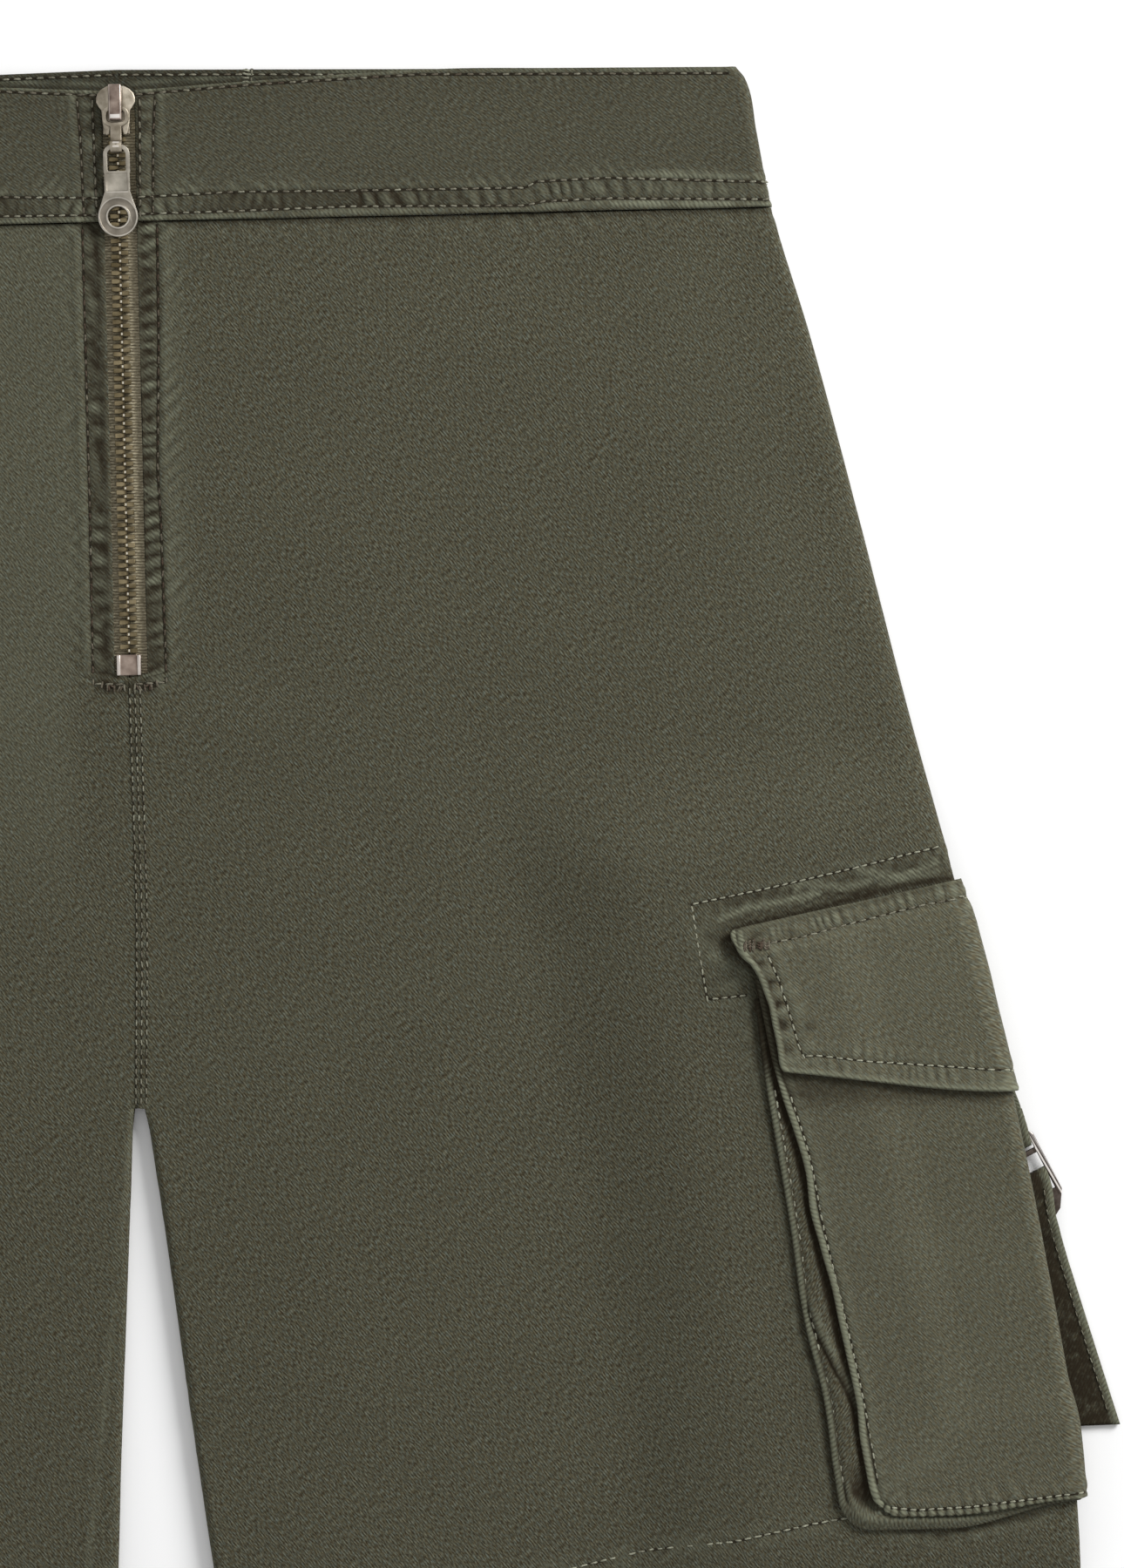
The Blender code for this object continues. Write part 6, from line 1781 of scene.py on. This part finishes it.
def boxPiece(name, low, high):
    bpy.ops.object.select_all(action="DESELECT")
    bpy.ops.mesh.primitive_cube_add(size=1.0, location=[(a + b) / 2 for a, b in zip(low, high)],
                                    scale=[b - a for a, b in zip(low, high)])
    piece = bpy.context.object
    piece.name = name
    bpy.ops.object.transform_apply(location=True, rotation=True, scale=True)
    return piece


def boxAt(name, x0, x1, h0, h1, z0, z1):
    y = shorts["crotchY"]
    return boxPiece(name, (x0 * 0.001, h0 * 0.001 + y, z0 * 0.001),
                    (x1 * 0.001, h1 * 0.001 + y, z1 * 0.001))


def joinPieces(pieces):
    bpy.ops.object.select_all(action="DESELECT")
    for piece in pieces:
        piece.select_set(True)
    bpy.context.view_layer.objects.active = pieces[0]
    bpy.ops.object.join()
    return pieces[0]


def zipSlider():
    body = platePiece("slider_plate", mirroredOutline(zipMetal["plate"]), *zipMetal["plateLevel"])
    x0, x1, h0, h1, z0, z1 = zipMetal["flange"]
    flanges = [boxAt("flange", min(s * x0, s * x1), max(s * x0, s * x1), h0, h1, z0, z1)
               for s in (1, -1)]
    body = joinPieces([body] + flanges)
    finishMetal(body, 0.00030, creamNickel, "garment")
    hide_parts("zip_slider")
    half, low, high, z0, z1 = zipMetal["crown"]
    bar = boxAt("slider_crown", -half, half, low, high, z0, z1)
    legs = [boxAt("leg", -half * 0.9, half * 0.9, h0, h1, zipMetal["plateLevel"][1] - 0.1,
                  z0 + 0.3) for h0, h1 in zipMetal["crownLegs"]]
    finishMetal(joinPieces([bar] + legs), 0.00042, pinkNickel, "garment")


def pullOutline(axis):
    half, corner, top, foot = zipMetal["frame"]
    waist, low = zipMetal["waist"]
    drop, radius, _ = zipMetal["disc"]
    right = [(0, axis + top)] + arcPoints((half - corner, axis + top - corner), corner, 90, 0, 8)
    right += [(half, axis + foot), (waist, axis + zipMetal["shoulder"]), (waist, axis + low),
              (zipMetal["tangent"][0], axis + zipMetal["tangent"][1])]
    return mirroredOutline(right + arcPoints((0, axis + drop), radius, 8, -90, 14))


def pullWindow(axis):
    wide, bend, top, foot, small = zipMetal["window"]
    right = [(0, axis + top)] + arcPoints((wide - bend, axis + top - bend), bend, 90, 0, 6)
    right += arcPoints((wide - small, axis + foot + small), small, 0, -90, 2)
    return mirroredOutline(right + [(0, axis + foot)])


def zipPull():
    axis, level = zipMetal["pullAxis"], zipMetal["pullLevel"]
    thick = zipMetal["pullThick"] / 2
    low, high, skin = level - thick - 1, level + thick + 1, level + thick - zipMetal["recess"]
    middle = (0, axis + zipMetal["disc"][0])
    hole = arcPoints(middle, zipMetal["disc"][2], 90, -252, 19)
    inner, outer = [arcPoints(middle, radius, 90, -255, steps)
                    for radius, steps in zip(zipMetal["ring"], (23, 31))]
    half, panelTop, panelFoot = zipMetal["panel"]
    cutters = [platePiece("window", pullWindow(axis), low, high),
               platePiece("hole", hole, low, high),
               boxAt("panel", -half, half, axis + panelFoot, axis + panelTop, skin, high),
               platePiece("groove", outer, skin, high,
                          [platePiece("core", inner, low, high + 1)])]
    piece = platePiece("slider_pull", pullOutline(axis), level - thick, level + thick, cutters)
    finishMetal(piece, 0.00016, nickel, "zip_pull")
    for vertex in piece.data.vertices:  # it hangs a little towards the cloth
        vertex.co.z += (vertex.co.y - shorts["crotchY"] - axis * 0.001) * zipMetal["pullSlope"]
    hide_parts("zip_pull")


def bottomStop():  # a sheet-metal box with a raised bar at each side
    low, high = [Vector(c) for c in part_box("zip_bottom_stop")]
    bar, step = 0.0011, 0.0006
    middle = boxPiece("zip_stop", low + Vector((step, 0, 0)), high - Vector((bar, 0, step)))
    bars = [boxPiece("bar", low, Vector((low.x + bar, high.y, high.z))),
            boxPiece("bar", Vector((high.x - bar, low.y, low.z)), high)]
    piece = joinPieces([middle] + bars)
    finishMetal(piece, 0.00025, pinkNickel, "garment")
    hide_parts("zip_bottom_stop")


zipSlider()
zipPull()
roundedCopy("zip_link", "slider_link", 0.00030, creamNickel, "zip_link")
bottomStop()
for letter in "LR":
    roundedCopy(f"strap_buckle_{letter}", f"buckle_{letter}", 0.00048, bronze,
                "garment")
print("zip and hardware ready")


# floor, light and camera
studio = {"key": 46, "keyAt": (1.45, 1.05, 0.98), "keyAim": (0.12, 0.03, 0), "keySize": 0.9,
          "floor": (0.93, 0.93, 0.93, 1), "floorSize": 6, "floorAt": (0.1, 0, -0.0004),
          "lens": 120, "sensor": 36, "seeFrom": 0.05,
          "cameraAt": (0.12339, 0.03455, 1.505), "cameraTurn": (0, 0, -0.02304),
          "sky": [(0.50, (0.60, 0.60, 0.60, 1)), (0.68, (0.74, 0.74, 0.74, 1)),
                  (0.82, (0.46, 0.46, 0.46, 1)), (0.94, (0.40, 0.40, 0.40, 1)),
                  (0.975, (0.78, 0.78, 0.78, 1)), (1.0, (0.92, 0.92, 0.92, 1))]}


def floorAndLight():
    bpy.ops.object.select_all(action="DESELECT")
    bpy.ops.mesh.primitive_plane_add(size=studio["floorSize"], location=studio["floorAt"])
    floor = bpy.context.object
    floor.name = "floor"
    finish, tree, shader = newFinish("pale_floor", 0.95, 0.1)
    shader.inputs["Base Color"].default_value = studio["floor"]
    floor.data.materials.append(finish)
    light = bpy.data.lights.new("key", "AREA")
    light.energy = studio["key"]
    light.size = studio["keySize"]
    key = bpy.data.objects.new("key", light)
    key.location = studio["keyAt"]
    aim = Vector(studio["keyAim"]) - key.location
    key.rotation_euler = aim.to_track_quat("-Z", "Y").to_euler()
    bpy.context.scene.collection.objects.link(key)
    world = bpy.data.worlds.new("studio")
    world.use_nodes = True
    tree = world.node_tree
    way = tree.nodes.new("ShaderNodeTexCoord")
    up = tree.nodes.new("ShaderNodeSeparateXYZ")
    tree.links.new(way.outputs["Generated"], up.inputs[0])
    level = timesPlus(tree, up.outputs["Z"], 0.5, 0.5)
    tree.links.new(rampNode(tree, level, studio["sky"]), tree.nodes["Background"].inputs[0])
    bpy.context.scene.world = world
    bpy.context.scene.view_settings.view_transform = "Standard"


def camera():
    lens = bpy.data.cameras.new("camera")
    lens.lens = studio["lens"]
    lens.sensor_width = studio["sensor"]
    lens.clip_start = studio["seeFrom"]
    seer = bpy.data.objects.new("camera", lens)
    seer.location = studio["cameraAt"]
    seer.rotation_euler = studio["cameraTurn"]
    bpy.context.scene.collection.objects.link(seer)
    bpy.context.scene.camera = seer


floorAndLight()
camera()
total = sum(len(p.vertices) - 2 for o in bpy.data.objects if o.type == "MESH"
            for p in o.data.polygons)
print("triangles in all:", total)
